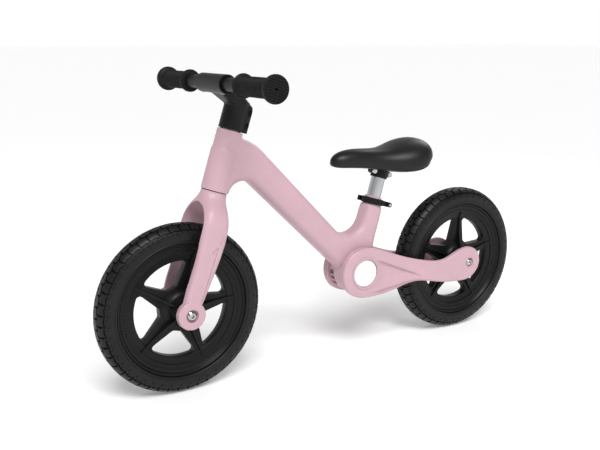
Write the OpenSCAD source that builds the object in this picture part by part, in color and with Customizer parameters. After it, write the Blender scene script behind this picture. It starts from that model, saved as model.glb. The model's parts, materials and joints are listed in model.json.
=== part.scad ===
// Child's balance bike: cast frame with two bolted rear stays, rigid fork,
// stem with straight handlebar, two moulded wheels with foam tyres,
// height-adjustable seat post with a tilting saddle.
// X points forward, Y to the rider's left, Z up. The ground is z = 0 and
// the origin is midway between the two axles.

/* [Wheels] */
// Distance between the two wheel axles
wheelbase = 606; // [560:2:740]
// Outer diameter of both tyres
wheel_d = 290; // [240:2:300]
// Width of both tyres
tyre_w = 46; // [38:1:50]
// Radial thickness of the foam tyre
tyre_t = 31; // [24:1:34]
// Radial depth of the moulded rim band
rim_band = 31; // [20:1:36]
// Width of the moulded rim
rim_w = 38; // [30:1:42]
// Number of spokes
spokes = 5; // [4:1:7]
// Turn of the front wheel at rest, from a spoke straight up
front_wheel_turn = 14; // [-36:0.5:36]
// Turn of the rear wheel at rest, from a spoke straight up
rear_wheel_turn = 4.5; // [-36:0.5:36]
// Diameter of the wheel hub barrel
hub_barrel_d = 46; // [40:1:52]
// Length of the wheel hub barrel
hub_barrel_len = 62; // [54:1:70]
// Outer diameter of the wheel bearings
bearing_od = 28; // [24:1:32]
// Width of one wheel bearing
bearing_w = 8; // [6:1:10]
// Diameter of the wheel axles
axle_d = 12; // [10:1:14]
// Distance between the inner faces of the dropouts
axle_len = 78; // [74:1:90]
// Diameter of the axle bolts
axle_bolt_d = 6; // [5:1:7]

/* [Fork and steering] */
// Angle of the steering axis above the ground
head_angle = 72; // [68:1:76]
// Distance of the front axle ahead of the steering axis
rake = 6; // [0:1:20]
// Free height between the tyre and the fork crown
crown_clear = 35; // [18:1:40]
// Height of the fork crown
crown_h = 24; // [20:1:40]
// Thickness of a fork leg at the crown
leg_t = 11; // [9:1:16]
// Fore-and-aft width of a fork leg at the crown
leg_w = 43; // [34:1:52]
// Fore-and-aft width of a fork leg at its bend
knee_w = 40; // [32:1:50]
// Radius of the front dropout bosses
front_boss_r = 24; // [20:1:27]
// Thickness of the front dropouts
front_boss_t = 13.5; // [10:0.5:16]
// Length of the head tube
head_len = 102; // [86:1:130]
// Outer diameter of the head tube
head_d = 44; // [42:1:54]
// Diameter of the steerer tube
steerer_d = 25.4; // [22:0.2:28.6]
// Outer diameter of the head bearings
head_bearing_od = 36; // [34:1:40]
// Width of one head bearing
head_bearing_w = 8; // [6:1:10]

/* [Stem and handlebar] */
// Diameter of the stem column
column_d = 42; // [38:1:48]
// Length of the stem column
column_len = 48; // [42:1:70]
// Distance of the handlebar ahead of the steering axis
stem_reach = 48; // [40:1:62]
// Height of the handlebar above the column's top
stem_rise = 16.5; // [12:0.5:24]
// Outer diameter of the handlebar sleeve
sleeve_d = 31; // [29:1:36]
// Length of the handlebar sleeve
sleeve_len = 90; // [64:1:110]
// Diameter of the handlebar
bar_d = 22.2; // [19:0.1:24]
// Length of the handlebar tube
bar_len = 384; // [340:2:460]
// Length of a grip from its flange to its end disc
grip_len = 103; // [92:1:130]
// Diameter of a grip
grip_d = 29; // [27:1:33]
// Diameter of the grip's end disc
grip_disc_d = 42.5; // [38:0.5:50]
// Diameter of the grip's inner flange
grip_flange_d = 38.5; // [34:0.5:44]

/* [Frame] */
// Distance of the frame hub ahead of the rear axle
hub_ahead = 249; // [240:1:280]
// Height of the frame hub above the rear axle
hub_rise = 12; // [0:1:24]
// Radius of the frame drum between the stays
drum_r = 43; // [38:1:46]
// Width of the frame drum
drum_w = 52; // [44:1:58]
// Depth of the down tube at the head
tube_depth_top = 56; // [52:1:64]
// Depth of the down tube at the hub
tube_depth_low = 46; // [40:1:52]
// Width of the down tube
tube_w = 40; // [34:1:44]
// Wall of the hollow down tube
tube_wall = 4; // [3:0.5:6]
// Radius of the fillet between the down tube and the seat tube
valley_r = 37; // [28:1:50]
// Radius of the fillet between the down tube and the head tube
throat_r = 16; // [8:1:20]
// Angle of the seat tube above the ground
seat_angle = 73; // [70:1:76]
// Length of the seat tube from the hub centre
seat_tube_len = 143; // [134:1:170]
// Diameter of the seat tube
seat_tube_d = 37; // [36:1:44]

/* [Rear stays] */
// Radius of a stay's hub disc
stay_disc_r = 48; // [44:1:52]
// Thickness of a stay's hub disc
stay_disc_t = 11; // [10:1:14]
// Thickness of a stay's arm
stay_arm_t = 10; // [8:1:12]
// Half-depth of a stay's arm behind the disc
stay_arm_r = 22; // [18:1:25]
// Radius of a stay's rear end
stay_end_r = 31; // [26:1:34]
// Thickness of a stay's dropout
rear_boss_t = 11; // [9:1:13]
// Diameter of the white hub caps
cap_d = 52; // [44:1:56]
// Diameter of the hub bolt
hub_bolt_d = 10; // [8:1:12]

/* [Seat] */
// Diameter of the seat post
post_d = 27.2; // [25.4:0.1:28.6]
// Length of the seat post
post_len = 142; // [134:1:150]
// Height of the clamp collar
collar_h = 11.5; // [10:0.5:14]
// Wall of the clamp collar
collar_wall = 4.2; // [3:0.2:5]
// Length of the saddle
saddle_len = 204; // [180:2:250]
// Width of the saddle
saddle_w = 124; // [100:2:150]
// Height of the saddle pad
saddle_h = 60; // [52:1:74]

/* [Fits] */
// Radial gap of a shaft that turns in a bearing
run_gap = 0.05; // [0.02:0.01:0.1]
// Gap of a piece that is fixed in its seat
seat_gap = 0.02; // [0.01:0.01:0.05]
// Gap between faces that pass each other
face_gap = 0.3; // [0.2:0.1:0.6]

/* [Hidden] */
$fn = 96;

PINK = [0.85, 0.71, 0.75];
BLACK = [0.12, 0.12, 0.13];
STEEL = [0.75, 0.76, 0.78];
WHITE = [0.96, 0.96, 0.96];

wheel_r = wheel_d / 2;
rim_r = wheel_r - tyre_t;
window_r = rim_r - rim_band;
dropout_y = axle_len / 2;
front_x = wheelbase / 2;
rear_x = -wheelbase / 2;
hub_x = rear_x + hub_ahead;
hub_z = wheel_r + hub_rise;
hull_fn = 32;

// Heights along the steering axis, from its foot beside the front axle
crown_low = wheel_r + crown_clear;
seam = crown_low + crown_h;
head_top = seam + head_len;
column_low = head_top + 2;
column_top = column_low + column_len;
bar_s = column_top + stem_rise;
seal_t = 1.6;
steerer_low = crown_low + 6;
lip_h = 4;
shoulder_s = crown_low - 30;
shoulder_x = 4;
tunnel_r = dropout_y - 0.5;

// Place of the steering axis' foot
foot_x = front_x - rake * sin(head_angle);
foot_z = wheel_r - rake * cos(head_angle);

// Heights along the seat tube, from the hub centre
neck_r = post_d / 2 + 2.6;
collar_s = seat_tube_len - 3.5 - collar_h;
collar_r = neck_r + seat_gap + collar_wall;
post_top = seat_tube_len + 54;
post_bore_low = hub_bolt_d / 2 + 19;
cheek_bolt_s = post_top - 8;
cheek_low = post_top - 18;
cheek_bolt_x = post_d / 2 + 5;
pivot_s = post_top + 9;
pin_r = 3;
lug_half = 7.7;
lug_r = 6.5;
skewer_x = -(collar_r + 13);
skewer_r = 2.5;
ear_half = 9;
lever_y = -(ear_half + 7.6);
barrel_r = 4;

// Upper end of the down tube, kept behind the front of the head tube
meet = head_top - 20;
meet_back = tube_depth_top / 2 - head_d / 2 + 2;
meet_x = foot_x - meet * cos(head_angle) - meet_back * sin(head_angle);
meet_z = foot_z + meet * sin(head_angle) - meet_back * cos(head_angle);

// Saddle places follow the tilt pivot
pivot_x = hub_x - pivot_s * cos(seat_angle);
pivot_z = hub_z + pivot_s * sin(seat_angle);
pan_z = pivot_z + 12;
pan_t = 5;
pad_x = pivot_x + 115;

// ---------------------------------------------------------------- helpers

// Turns a child's Z axis to +Y and puts it at an axle
module axle_at(x, z) translate([x, 0, z]) rotate([-90, 0, 0]) children();

// A round bar along Y between two widths
module bar_y(x, z, r, y0, y1) {
    translate([x, y0, z]) rotate([-90, 0, 0]) cylinder(r = r, h = y1 - y0);
}

// Frame of the steering axis: Z up along it, X forward
module steering() {
    translate([foot_x, 0, foot_z]) rotate([0, head_angle - 90, 0]) children();
}

// Frame of the seat tube: Z up along it, X forward
module seating() {
    translate([hub_x, 0, hub_z]) rotate([0, seat_angle - 90, 0]) children();
}

module ring(r_out, r_in, h) {
    difference() {
        cylinder(r = r_out, h = h);
        translate([0, 0, -1]) cylinder(r = r_in, h = h + 2);
    }
}

module both_sides() {
    children();
    mirror([0, 1, 0]) children();
}

// Socket-head bolt along +Z with a domed head above z = 0
module domed_bolt(shank_r, shank_len, head_r, head_h) {
    difference() {
        union() {
            translate([0, 0, -shank_len]) cylinder(r = shank_r, h = shank_len);
            cylinder(r = head_r, h = head_h * 0.45);
            translate([0, 0, head_h * 0.45])
                cylinder(r1 = head_r, r2 = head_r * 0.62, h = head_h * 0.55);
        }
        translate([0, 0, head_h * 0.35]) cylinder(r = head_r * 0.42, h = head_h, $fn = 6);
    }
}

// ------------------------------------------------------------------ wheels

// Half outline of the tyre, x = radius and y = width
module tyre_outline() {
    shoulder = tyre_w * 0.43;
    intersection() {
        translate([rim_r, -tyre_w / 2]) square([tyre_t, tyre_w]);
        union() {
            translate([rim_r, -tyre_w / 2]) square([tyre_t - shoulder, tyre_w]);
            translate([rim_r, -tyre_w / 2 + shoulder]) square([tyre_t, tyre_w - 2 * shoulder]);
            for (s = [-1, 1])
                translate([wheel_r - shoulder, s * (tyre_w / 2 - shoulder)]) circle(r = shoulder);
        }
    }
}

module tyre(x) {
    color(BLACK) axle_at(x, wheel_r) rotate_extrude($fn = 120) tyre_outline();
}

// One window between two spokes: a wedge with rounded corners
module window_outline() {
    half = 180 / spokes;
    corner = 8;
    spoke_half = 10;
    inner_r = hub_barrel_d / 2 + 12;
    offset(r = corner) offset(delta = -corner)
        intersection() {
            difference() {
                circle(r = window_r);
                circle(r = inner_r);
            }
            polygon([
                [spoke_half / sin(half), 0],
                [window_r * 2, tan(half) * (window_r * 2 - spoke_half / sin(half))],
                [window_r * 2, -tan(half) * (window_r * 2 - spoke_half / sin(half))]
            ]);
        }
}

// Moulded wheel: stepped rim band, dished web with windows, hub barrel
module rim(x, turn) {
    web_w = rim_w - 18;
    color(BLACK) axle_at(x, wheel_r)
        difference() {
            union() {
                translate([0, 0, -rim_w / 2]) ring(rim_r - seat_gap, rim_r - 12, rim_w);
                translate([0, 0, -rim_w / 2 + 4]) ring(rim_r - 11, window_r + 6, rim_w - 8);
                translate([0, 0, -web_w / 2]) cylinder(r = window_r + 7, h = web_w);
                translate([0, 0, -hub_barrel_len / 2])
                    cylinder(r = hub_barrel_d / 2, h = hub_barrel_len);
            }
            for (i = [0 : spokes - 1])
                rotate([0, 0, (i + 0.5) * 360 / spokes - 90 - turn])
                    translate([0, 0, -web_w]) linear_extrude(height = web_w * 2) window_outline();
            translate([0, 0, -hub_barrel_len])
                cylinder(r = axle_d / 2 + 3, h = 2 * hub_barrel_len);
            for (s = [-1, 1])
                translate([0, 0, s * (hub_barrel_len / 2 - bearing_w / 2)])
                    cylinder(r = bearing_od / 2 + seat_gap, h = bearing_w + seat_gap, center = true);
        }
}

// The two sealed bearings of a wheel
module bearings(x) {
    color(STEEL) axle_at(x, wheel_r)
        for (s = [-1, 1])
            translate([0, 0, s * (hub_barrel_len / 2 - bearing_w / 2) - bearing_w / 2 + seat_gap])
                ring(bearing_od / 2, axle_d / 2 + run_gap, bearing_w - 2 * seat_gap);
}

module axle(x) {
    color(STEEL) axle_at(x, wheel_r)
        translate([0, 0, -axle_len / 2 + seat_gap])
            ring(axle_d / 2, axle_bolt_d / 2 + seat_gap, axle_len - 2 * seat_gap);
}

// Tubes that fill the space between a bearing and its dropout
module spacers(x) {
    y0 = hub_barrel_len / 2 + face_gap;
    color(BLACK) axle_at(x, wheel_r)
        for (s = [-1, 1])
            translate([0, 0, s > 0 ? y0 : -dropout_y + seat_gap])
                ring(axle_d / 2 + 3, axle_d / 2 + seat_gap, dropout_y - y0 - seat_gap);
}

module axle_bolts(x, head_seat, head_r, head_h) {
    color(STEEL) axle_at(x, wheel_r)
        for (s = [0, 1])
            mirror([0, 0, s]) translate([0, 0, head_seat + seat_gap])
                domed_bolt(axle_bolt_d / 2, head_seat - 14, head_r, head_h);
}

module front_tyre() tyre(front_x);
module rear_tyre() tyre(rear_x);
module front_rim() rim(front_x, front_wheel_turn);
module rear_rim() rim(rear_x, rear_wheel_turn);
module front_bearings() bearings(front_x);
module rear_bearings() bearings(rear_x);
module front_axle() axle(front_x);
module rear_axle() axle(rear_x);
module front_spacers() spacers(front_x);
module rear_spacers() spacers(rear_x);

front_recess = 4.5;
front_recess_r = 11;
rear_recess = 3;
rear_recess_r = 9.5;
bolt_head_r = 7.6;
module front_axle_bolts()
    axle_bolts(front_x, dropout_y + front_boss_t - front_recess, bolt_head_r + 0.8, 5.6);
module rear_axle_bolts()
    axle_bolts(rear_x, dropout_y + rear_boss_t - rear_recess, bolt_head_r - 0.6, 4.2);

// -------------------------------------------------------------------- fork

// Places of the left leg, each a round slab across Y: [x, z, radius, y0, y1]
leg_top = [
    foot_x + shoulder_x * sin(head_angle) - shoulder_s * cos(head_angle),
    foot_z + shoulder_s * sin(head_angle) + shoulder_x * cos(head_angle)
];
leg_knee = [front_x - 40, wheel_r + 106];
leg_foot = [front_x - 4, wheel_r + 22];

module leg_slab(p, r, y0, y1) bar_y(p[0], p[1], r, y0, y1, $fn = hull_fn);

module left_leg() {
    y_in = tunnel_r + 1;
    hull() {
        leg_slab(leg_top, leg_w / 2, y_in, y_in + leg_t - 4);
        leg_slab(leg_top, leg_w / 2 - 5, y_in, y_in + leg_t);
        leg_slab(leg_knee, knee_w / 2, y_in + 2, y_in + leg_t - 2);
        leg_slab(leg_knee, knee_w / 2 - 5, y_in + 2, y_in + leg_t + 1);
    }
    hull() {
        leg_slab(leg_knee, knee_w / 2, y_in + 2, y_in + leg_t - 2);
        leg_slab(leg_knee, knee_w / 2 - 5, y_in + 2, y_in + leg_t + 1);
        leg_slab(leg_foot, 16, dropout_y + 0.5, dropout_y + front_boss_t - 3);
        leg_slab(leg_foot, 12, dropout_y + 0.5, dropout_y + front_boss_t);
    }
    bar_y(front_x, wheel_r, front_boss_r, dropout_y, dropout_y + front_boss_t);
}

module fork() {
    color(PINK) difference() {
        union() {
            both_sides() left_leg();
            hull() {
                steering() translate([0, 0, seam - seal_t - 4])
                    cylinder(r = head_d / 2, h = 4, $fn = hull_fn);
                steering() translate([0, 0, seam - 18])
                    cylinder(r = head_d / 2 + 1, h = 4, $fn = hull_fn);
                both_sides()
                    leg_slab(leg_top, leg_w / 2 - 0.7, tunnel_r + 1.6, tunnel_r + leg_t - 3.8);
            }
        }
        steering() {
            rotate([0, 90, 0]) translate([-(crown_low - tunnel_r), 0, -80])
                cylinder(r = tunnel_r, h = 200);
            translate([-80, -tunnel_r, -wheel_r - 60])
                cube([200, 2 * tunnel_r, wheel_r + 60 + crown_low - tunnel_r]);
            translate([0, 0, steerer_low]) cylinder(r = steerer_d / 2 + seat_gap, h = 60);
        }
        both_sides() {
            bar_y(front_x, wheel_r, axle_bolt_d / 2 + seat_gap, 0, 100);
            bar_y(front_x, wheel_r, front_recess_r,
                dropout_y + front_boss_t - front_recess, dropout_y + front_boss_t + 10);
        }
    }
}

module steerer_tube() {
    color(STEEL) steering() translate([0, 0, steerer_low + seat_gap])
        ring(steerer_d / 2, steerer_d / 2 - 2.4, column_top - 6 - steerer_low);
}

// -------------------------------------------------------- stem, handlebar

lobe_half = 14;
lobe_x = -(column_d / 2 + 5);
pinch_x = -(steerer_d / 2 + 6.6);
pinch_r = 2.5;
pinch_s = [column_low + 12, column_top - 14];

module stem() {
    color(BLACK) difference() {
        steering() union() {
            translate([0, 0, column_low]) cylinder(r = column_d / 2, h = column_len);
            hull() for (s = [column_low + 5, column_top - 5], y = [-1, 1])
                translate([lobe_x + 5, y * (lobe_half - 5), s]) sphere(r = 5, $fn = hull_fn);
            translate([lobe_x + 5, -lobe_half, column_low])
                cube([-lobe_x - 5, 2 * lobe_half, column_len - 5]);
            hull() {
                translate([-2, 0, column_top - 7])
                    cylinder(r = column_d / 2 - 3, h = 7, $fn = hull_fn);
                translate([stem_reach - 2, 0, bar_s]) rotate([90, 0, 0])
                    cylinder(r = sleeve_d / 2 - 5, h = 34, center = true, $fn = hull_fn);
            }
            translate([stem_reach, 0, bar_s]) rotate([90, 0, 0])
                cylinder(r = sleeve_d / 2, h = sleeve_len, center = true);
        }
        steering() {
            translate([0, 0, column_low - 1])
                cylinder(r = steerer_d / 2 + seat_gap, h = column_len - 4);
            translate([lobe_x - 6, -1, column_low - 1])
                cube([-lobe_x, 2, column_len - 4]);
            translate([stem_reach, 0, bar_s]) rotate([90, 0, 0])
                cylinder(r = bar_d / 2 + seat_gap, h = sleeve_len + 40, center = true);
            for (s = pinch_s) translate([pinch_x, 0, s]) rotate([90, 0, 0]) {
                cylinder(r = pinch_r + seat_gap, h = 60, center = true);
                for (e = [-1, 1]) translate([0, 0, e * (lobe_half + 6)])
                    cylinder(r = pinch_r * 2, h = 20, center = true);
            }
            for (y = grub_y) translate([stem_reach, y, bar_s - sleeve_d])
                cylinder(r = grub_r + seat_gap, h = sleeve_d);
        }
    }
}

module stem_pinch_bolts() {
    color(BLACK) steering() for (s = pinch_s)
        translate([pinch_x, lobe_half - 4 + seat_gap, s]) rotate([-90, 0, 0])
            domed_bolt(pinch_r, 2 * lobe_half - 8 + 2.5, pinch_r * 1.8, 3.6);
}

module stem_pinch_nuts() {
    color(BLACK) steering() for (s = pinch_s)
        translate([pinch_x, -lobe_half + 4 - seat_gap, s]) rotate([90, 0, 0])
            difference() {
                cylinder(r = pinch_r * 1.8, h = 3, $fn = 6);
                translate([0, 0, -1]) cylinder(r = pinch_r + seat_gap, h = 6);
            }
}

grub_y = [-(sleeve_len / 2 - 9), sleeve_len / 2 - 9];
grub_r = 3;
module bar_grub_screws() {
    color(STEEL) steering() for (y = grub_y)
        translate([stem_reach, y, bar_s - bar_d / 2 - seat_gap]) mirror([0, 0, 1])
            difference() {
                cylinder(r = grub_r, h = 5.2);
                translate([0, 0, 3]) cylinder(r = 1.5, h = 4, $fn = 6);
            }
}

module handlebar() {
    color(BLACK) steering() translate([stem_reach, 0, bar_s]) rotate([-90, 0, 0])
        translate([0, 0, -bar_len / 2]) ring(bar_d / 2, bar_d / 2 - 2, bar_len);
}

// Grip along +Z from its flange, with a mushroom end over the bar's end
grip_end_t = 7;
grip_start = bar_len / 2 - grip_len + grip_end_t;
module grip_solid() {
    r0 = bar_d / 2 + seat_gap;
    difference() {
        union() {
            cylinder(r1 = grip_flange_d / 2 - 1.5, r2 = grip_flange_d / 2, h = 1.5);
            translate([0, 0, 1.5]) cylinder(r = grip_flange_d / 2, h = 2.5);
            cylinder(r = grip_d / 2, h = grip_len);
            translate([0, 0, grip_len - 9]) cylinder(r = grip_disc_d / 2, h = 6.5);
            translate([0, 0, grip_len - 2.5])
                cylinder(r1 = grip_disc_d / 2, r2 = grip_disc_d / 2 - 2.5, h = 2.5);
        }
        translate([0, 0, -1]) cylinder(r = r0, h = grip_len - grip_end_t + 1 + seat_gap);
        cylinder(r = 2, h = grip_len + 1);
    }
}

module left_grip() {
    color(BLACK) steering() translate([stem_reach, grip_start, bar_s])
        rotate([-90, 0, 0]) grip_solid();
}

module right_grip() {
    mirror([0, 1, 0]) left_grip();
}

// ------------------------------------------------------------------- frame

// Rounded slab of the down tube at one end
module tube_end(x, z, depth) {
    bar_y(x, z, depth / 2, -tube_w / 2 + 9, tube_w / 2 - 9, $fn = hull_fn);
    bar_y(x, z, depth / 2 - 3, -tube_w / 2 + 4, tube_w / 2 - 4, $fn = hull_fn);
    bar_y(x, z, depth / 2 - 9, -tube_w / 2, tube_w / 2, $fn = hull_fn);
}

// Angles of the down tube's middle line and of its two tapering edges
tube_angle = atan2(meet_z - hub_z, meet_x - hub_x);
taper_angle = asin((tube_depth_top - tube_depth_low) / 2
    / norm([meet_x - hub_x, meet_z - hub_z]));

// Where the steering axis meets a line through the hub along the tube's lower edge
low_edge = tube_angle - taper_angle;
throat_reach = ((foot_x - hub_x) * sin(head_angle) + (foot_z - hub_z) * cos(head_angle))
    / sin(180 - head_angle - low_edge);
throat = [hub_x + throat_reach * cos(low_edge), hub_z + throat_reach * sin(low_edge)];

// Web that rounds the corner between two bars leaving p at angles a and b;
// each bar's edge lies its own half-width from its middle line
module corner_web(p, a, half_a, b, half_b, r) {
    swing = b - a;
    lean = atan2((half_a + r) * sin(swing), half_b + r + (half_a + r) * cos(swing));
    reach = (half_a + r) / sin(lean);
    c = reach * [cos(a + lean), sin(a + lean)];
    translate([p[0], 0, p[1]]) rotate([90, 0, 0])
        linear_extrude(height = tube_w / 2, center = true) difference() {
            polygon([
                [0, 0],
                reach * cos(lean) * [cos(a), sin(a)],
                c,
                reach * cos(swing - lean) * [cos(b), sin(b)]
            ]);
            translate(c) circle(r = r);
        }
}

// Lower end of the hollow, clear of the drum
hollow_low = [hub_x + (drum_r + 22) * cos(tube_angle), hub_z + (drum_r + 22) * sin(tube_angle)];
hollow_y = tube_w / 2 - tube_wall - 1;

module frame_shell() {
    mid_r = head_bearing_od / 2 - 2;
    color(PINK) difference() {
        union() {
            steering() {
                translate([0, 0, seam]) cylinder(r = head_d / 2, h = head_len);
                translate([0, 0, seam + 1]) cylinder(r = head_d / 2 + 1, h = head_len * 0.68);
                translate([0, 0, head_top - lip_h]) cylinder(r = head_d / 2 + 0.8, h = lip_h - 1);
            }
            hull() {
                tube_end(meet_x, meet_z, tube_depth_top);
                tube_end(hub_x, hub_z, tube_depth_low);
            }
            seating() {
                cylinder(r = seat_tube_d / 2, h = collar_s);
                cylinder(r = neck_r, h = seat_tube_len);
            }
            corner_web([hub_x, hub_z], tube_angle + taper_angle, tube_depth_low / 2,
                180 - seat_angle, seat_tube_d / 2, valley_r);
            corner_web(throat, 180 + low_edge, tube_depth_low / 2,
                360 - head_angle, head_d / 2 + 1, throat_r);
            bar_y(hub_x, hub_z, drum_r, -drum_w / 2, drum_w / 2);
            for (s = [-1, 1])
                bar_y(hub_x, hub_z, drum_r + 3, s * (drum_w / 2 - 1.5) - 1.5, s * (drum_w / 2 - 1.5) + 1.5);
        }
        steering() {
            translate([0, 0, seam - 10]) cylinder(r = mid_r, h = head_len + 100);
            for (s = [seam + seal_t, head_top - head_bearing_w - seal_t])
                translate([0, 0, s - (s == seam + seal_t ? 20 : 0)])
                    cylinder(r = head_bearing_od / 2 + seat_gap,
                        h = head_bearing_w + 20 + seat_gap);
            translate([-60, -60, head_top]) cube([120, 120, 60]);
        }
        seating() {
            translate([0, 0, post_bore_low])
                cylinder(r = post_d / 2 + run_gap, h = seat_tube_len);
            translate([-neck_r - 6, -1, collar_s - 14]) cube([8, 2, seat_tube_len]);
        }
        bar_y(hub_x, hub_z, hub_bolt_d / 2 + seat_gap, -60, 60);
        hull() {
            bar_y(meet_x, meet_z, tube_depth_top / 2 - 9 - tube_wall, -hollow_y, hollow_y,
                $fn = hull_fn);
            bar_y(hollow_low[0], hollow_low[1], tube_depth_low / 2 - tube_wall - 3,
                -hollow_y, hollow_y, $fn = hull_fn);
        }
        for (s = [-1, 1], a = [-150, -120, -90])
            translate([hub_x, s * (drum_w / 2 - 10), hub_z]) rotate([0, a + 60, 0])
                translate([-drum_r - 6, -4, -8]) cube([12, 8, 16]);
    }
}

module head_bearings() {
    color(STEEL) steering()
        for (s = [seam + seal_t + seat_gap, head_top - head_bearing_w - seal_t + seat_gap])
            translate([0, 0, s])
                ring(head_bearing_od / 2, steerer_d / 2 + run_gap, head_bearing_w - seat_gap);
}

// Thin dark seals that close the head tube over its bearings
module head_seals() {
    color(BLACK) steering()
        for (s = [seam - seal_t + face_gap, head_top - seal_t + seat_gap])
            translate([0, 0, s])
                ring(s < head_top - 10 ? head_d / 2 - 0.8 : head_bearing_od / 2 - 0.2,
                    steerer_d / 2 + 0.4,
                    s < head_top - 10 ? seal_t - face_gap - seat_gap : seal_t + 1.2);
}

// -------------------------------------------------------------- rear stays

disc_y = drum_w / 2 + face_gap;
cap_t = 3.4;
cap_pocket = 4;
head_pocket_r = 10;
arm_neck = [hub_x - hub_ahead * 0.26, hub_z - 11];
arm_mid = [hub_x - hub_ahead * 0.49, hub_z - 10];
arm_low = [hub_x - hub_ahead * 0.70, hub_z - 21];
arm_end = [rear_x + 3, wheel_r + 1];

module left_stay_solid() {
    face_y = disc_y + stay_disc_t;
    arm_y = max(disc_y + 6, tyre_w / 2 + 7);
    neck_arm_r = stay_disc_r * 0.75;
    out_y = dropout_y + rear_boss_t;
    difference() {
        union() {
            bar_y(hub_x, hub_z, stay_disc_r, disc_y, face_y - 1.5);
            bar_y(hub_x, hub_z, stay_disc_r - 2, disc_y, face_y);
            hull() {
                bar_y(hub_x - 6, hub_z, stay_disc_r - 6, disc_y + 3, face_y - 1, $fn = hull_fn);
                bar_y(arm_neck[0], arm_neck[1], neck_arm_r, disc_y + 3, face_y, $fn = hull_fn);
            }
            hull() {
                bar_y(arm_neck[0], arm_neck[1], neck_arm_r, disc_y + 3, face_y, $fn = hull_fn);
                bar_y(arm_mid[0], arm_mid[1], stay_arm_r, arm_y, arm_y + stay_arm_t, $fn = hull_fn);
            }
            hull() {
                bar_y(arm_mid[0], arm_mid[1], stay_arm_r, arm_y, arm_y + stay_arm_t, $fn = hull_fn);
                bar_y(arm_low[0], arm_low[1], stay_arm_r + 1, dropout_y, out_y - 1, $fn = hull_fn);
            }
            hull() {
                bar_y(arm_low[0], arm_low[1], stay_arm_r + 1, dropout_y, out_y - 1, $fn = hull_fn);
                bar_y(arm_end[0] + 8, arm_end[1] - 8, stay_end_r - 2, dropout_y, out_y - 1,
                    $fn = hull_fn);
            }
            bar_y(arm_end[0], arm_end[1], stay_end_r, dropout_y, out_y);
        }
        bar_y(hub_x, hub_z, hub_bolt_d / 2 + seat_gap, 0, 100);
        bar_y(hub_x, hub_z, cap_d / 2 + face_gap, face_y - cap_pocket, 100);
        bar_y(hub_x, hub_z, head_pocket_r, disc_y + 3, 100);
        bar_y(rear_x, wheel_r, axle_bolt_d / 2 + seat_gap, 0, 100);
        bar_y(rear_x, wheel_r, rear_recess_r, out_y - rear_recess, 100);
    }
}

module left_stay() color(PINK) left_stay_solid();
module right_stay() color(PINK) mirror([0, 1, 0]) left_stay_solid();

module hub_bolt() {
    seat_y = disc_y + 3 + seat_gap;
    color(STEEL) translate([hub_x, seat_y, hub_z]) rotate([-90, 0, 0]) difference() {
        union() {
            translate([0, 0, -2 * seat_y - 3.2]) cylinder(r = hub_bolt_d / 2, h = 2 * seat_y + 4);
            cylinder(r = head_pocket_r - 1, h = 3.4);
        }
        translate([0, 0, 1.2]) cylinder(r = 3.5, h = 5, $fn = 6);
    }
}

module hub_nut() {
    seat_y = disc_y + 3 + seat_gap;
    color(STEEL) translate([hub_x, -seat_y, hub_z]) rotate([90, 0, 0]) difference() {
        cylinder(r = head_pocket_r - 1, h = 3.4, $fn = 6);
        translate([0, 0, -1]) cylinder(r = hub_bolt_d / 2 + seat_gap, h = 6);
    }
}

module left_cap_solid() {
    y0 = disc_y + stay_disc_t - cap_pocket + seat_gap;
    translate([hub_x, y0, hub_z]) rotate([-90, 0, 0]) {
        cylinder(r = cap_d / 2, h = cap_t - 0.8);
        translate([0, 0, cap_t - 0.8]) cylinder(r1 = cap_d / 2, r2 = cap_d / 2 - 1, h = 0.8);
    }
}

module left_hub_cap() color(WHITE) left_cap_solid();
module right_hub_cap() color(WHITE) mirror([0, 1, 0]) left_cap_solid();

// -------------------------------------------------------------- seat clamp

module seat_clamp() {
    color(BLACK) seating() translate([0, 0, collar_s + seat_gap]) difference() {
        union() {
            cylinder(r = collar_r, h = collar_h);
            translate([skewer_x, -ear_half, collar_h * 0.08])
                cube([-skewer_x - neck_r + 2, 2 * ear_half, collar_h * 0.84]);
            translate([skewer_x, ear_half, collar_h / 2]) rotate([90, 0, 0])
                cylinder(r = collar_h * 0.42, h = 2 * ear_half);
        }
        translate([0, 0, -1]) cylinder(r = neck_r + seat_gap, h = collar_h + 2);
        translate([skewer_x - 20, -1.2, -1]) cube([-skewer_x + 20, 2.4, collar_h + 2]);
        translate([skewer_x, 0, collar_h / 2]) rotate([90, 0, 0])
            cylinder(r = skewer_r + seat_gap, h = 60, center = true);
        for (a = [-110 : 27.5 : 110])
            rotate([0, 0, a]) translate([collar_r + 1.2, 0, collar_h / 2])
                cube([4.4, 5, collar_h * 0.62], center = true);
    }
}

clamp_mid = collar_s + seat_gap + collar_h / 2;
nut_h = 5;
module clamp_skewer() {
    color(STEEL) seating() translate([skewer_x, lever_y + barrel_r - 1.5, clamp_mid])
        rotate([-90, 0, 0])
            cylinder(r = skewer_r, h = ear_half + nut_h + 0.8 - (lever_y + barrel_r - 1.5));
}

module clamp_nut() {
    color(BLACK) seating() translate([skewer_x, ear_half + seat_gap, clamp_mid])
        rotate([-90, 0, 0]) ring(collar_h * 0.41, skewer_r + seat_gap, nut_h);
}

module lever_barrel() {
    color(STEEL) seating() difference() {
        translate([skewer_x, lever_y, clamp_mid - collar_h / 2])
            cylinder(r = barrel_r, h = collar_h);
        translate([skewer_x, lever_y + barrel_r - 1.5 - seat_gap, clamp_mid])
            rotate([-90, 0, 0]) cylinder(r = skewer_r + seat_gap, h = 20);
    }
}

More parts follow.
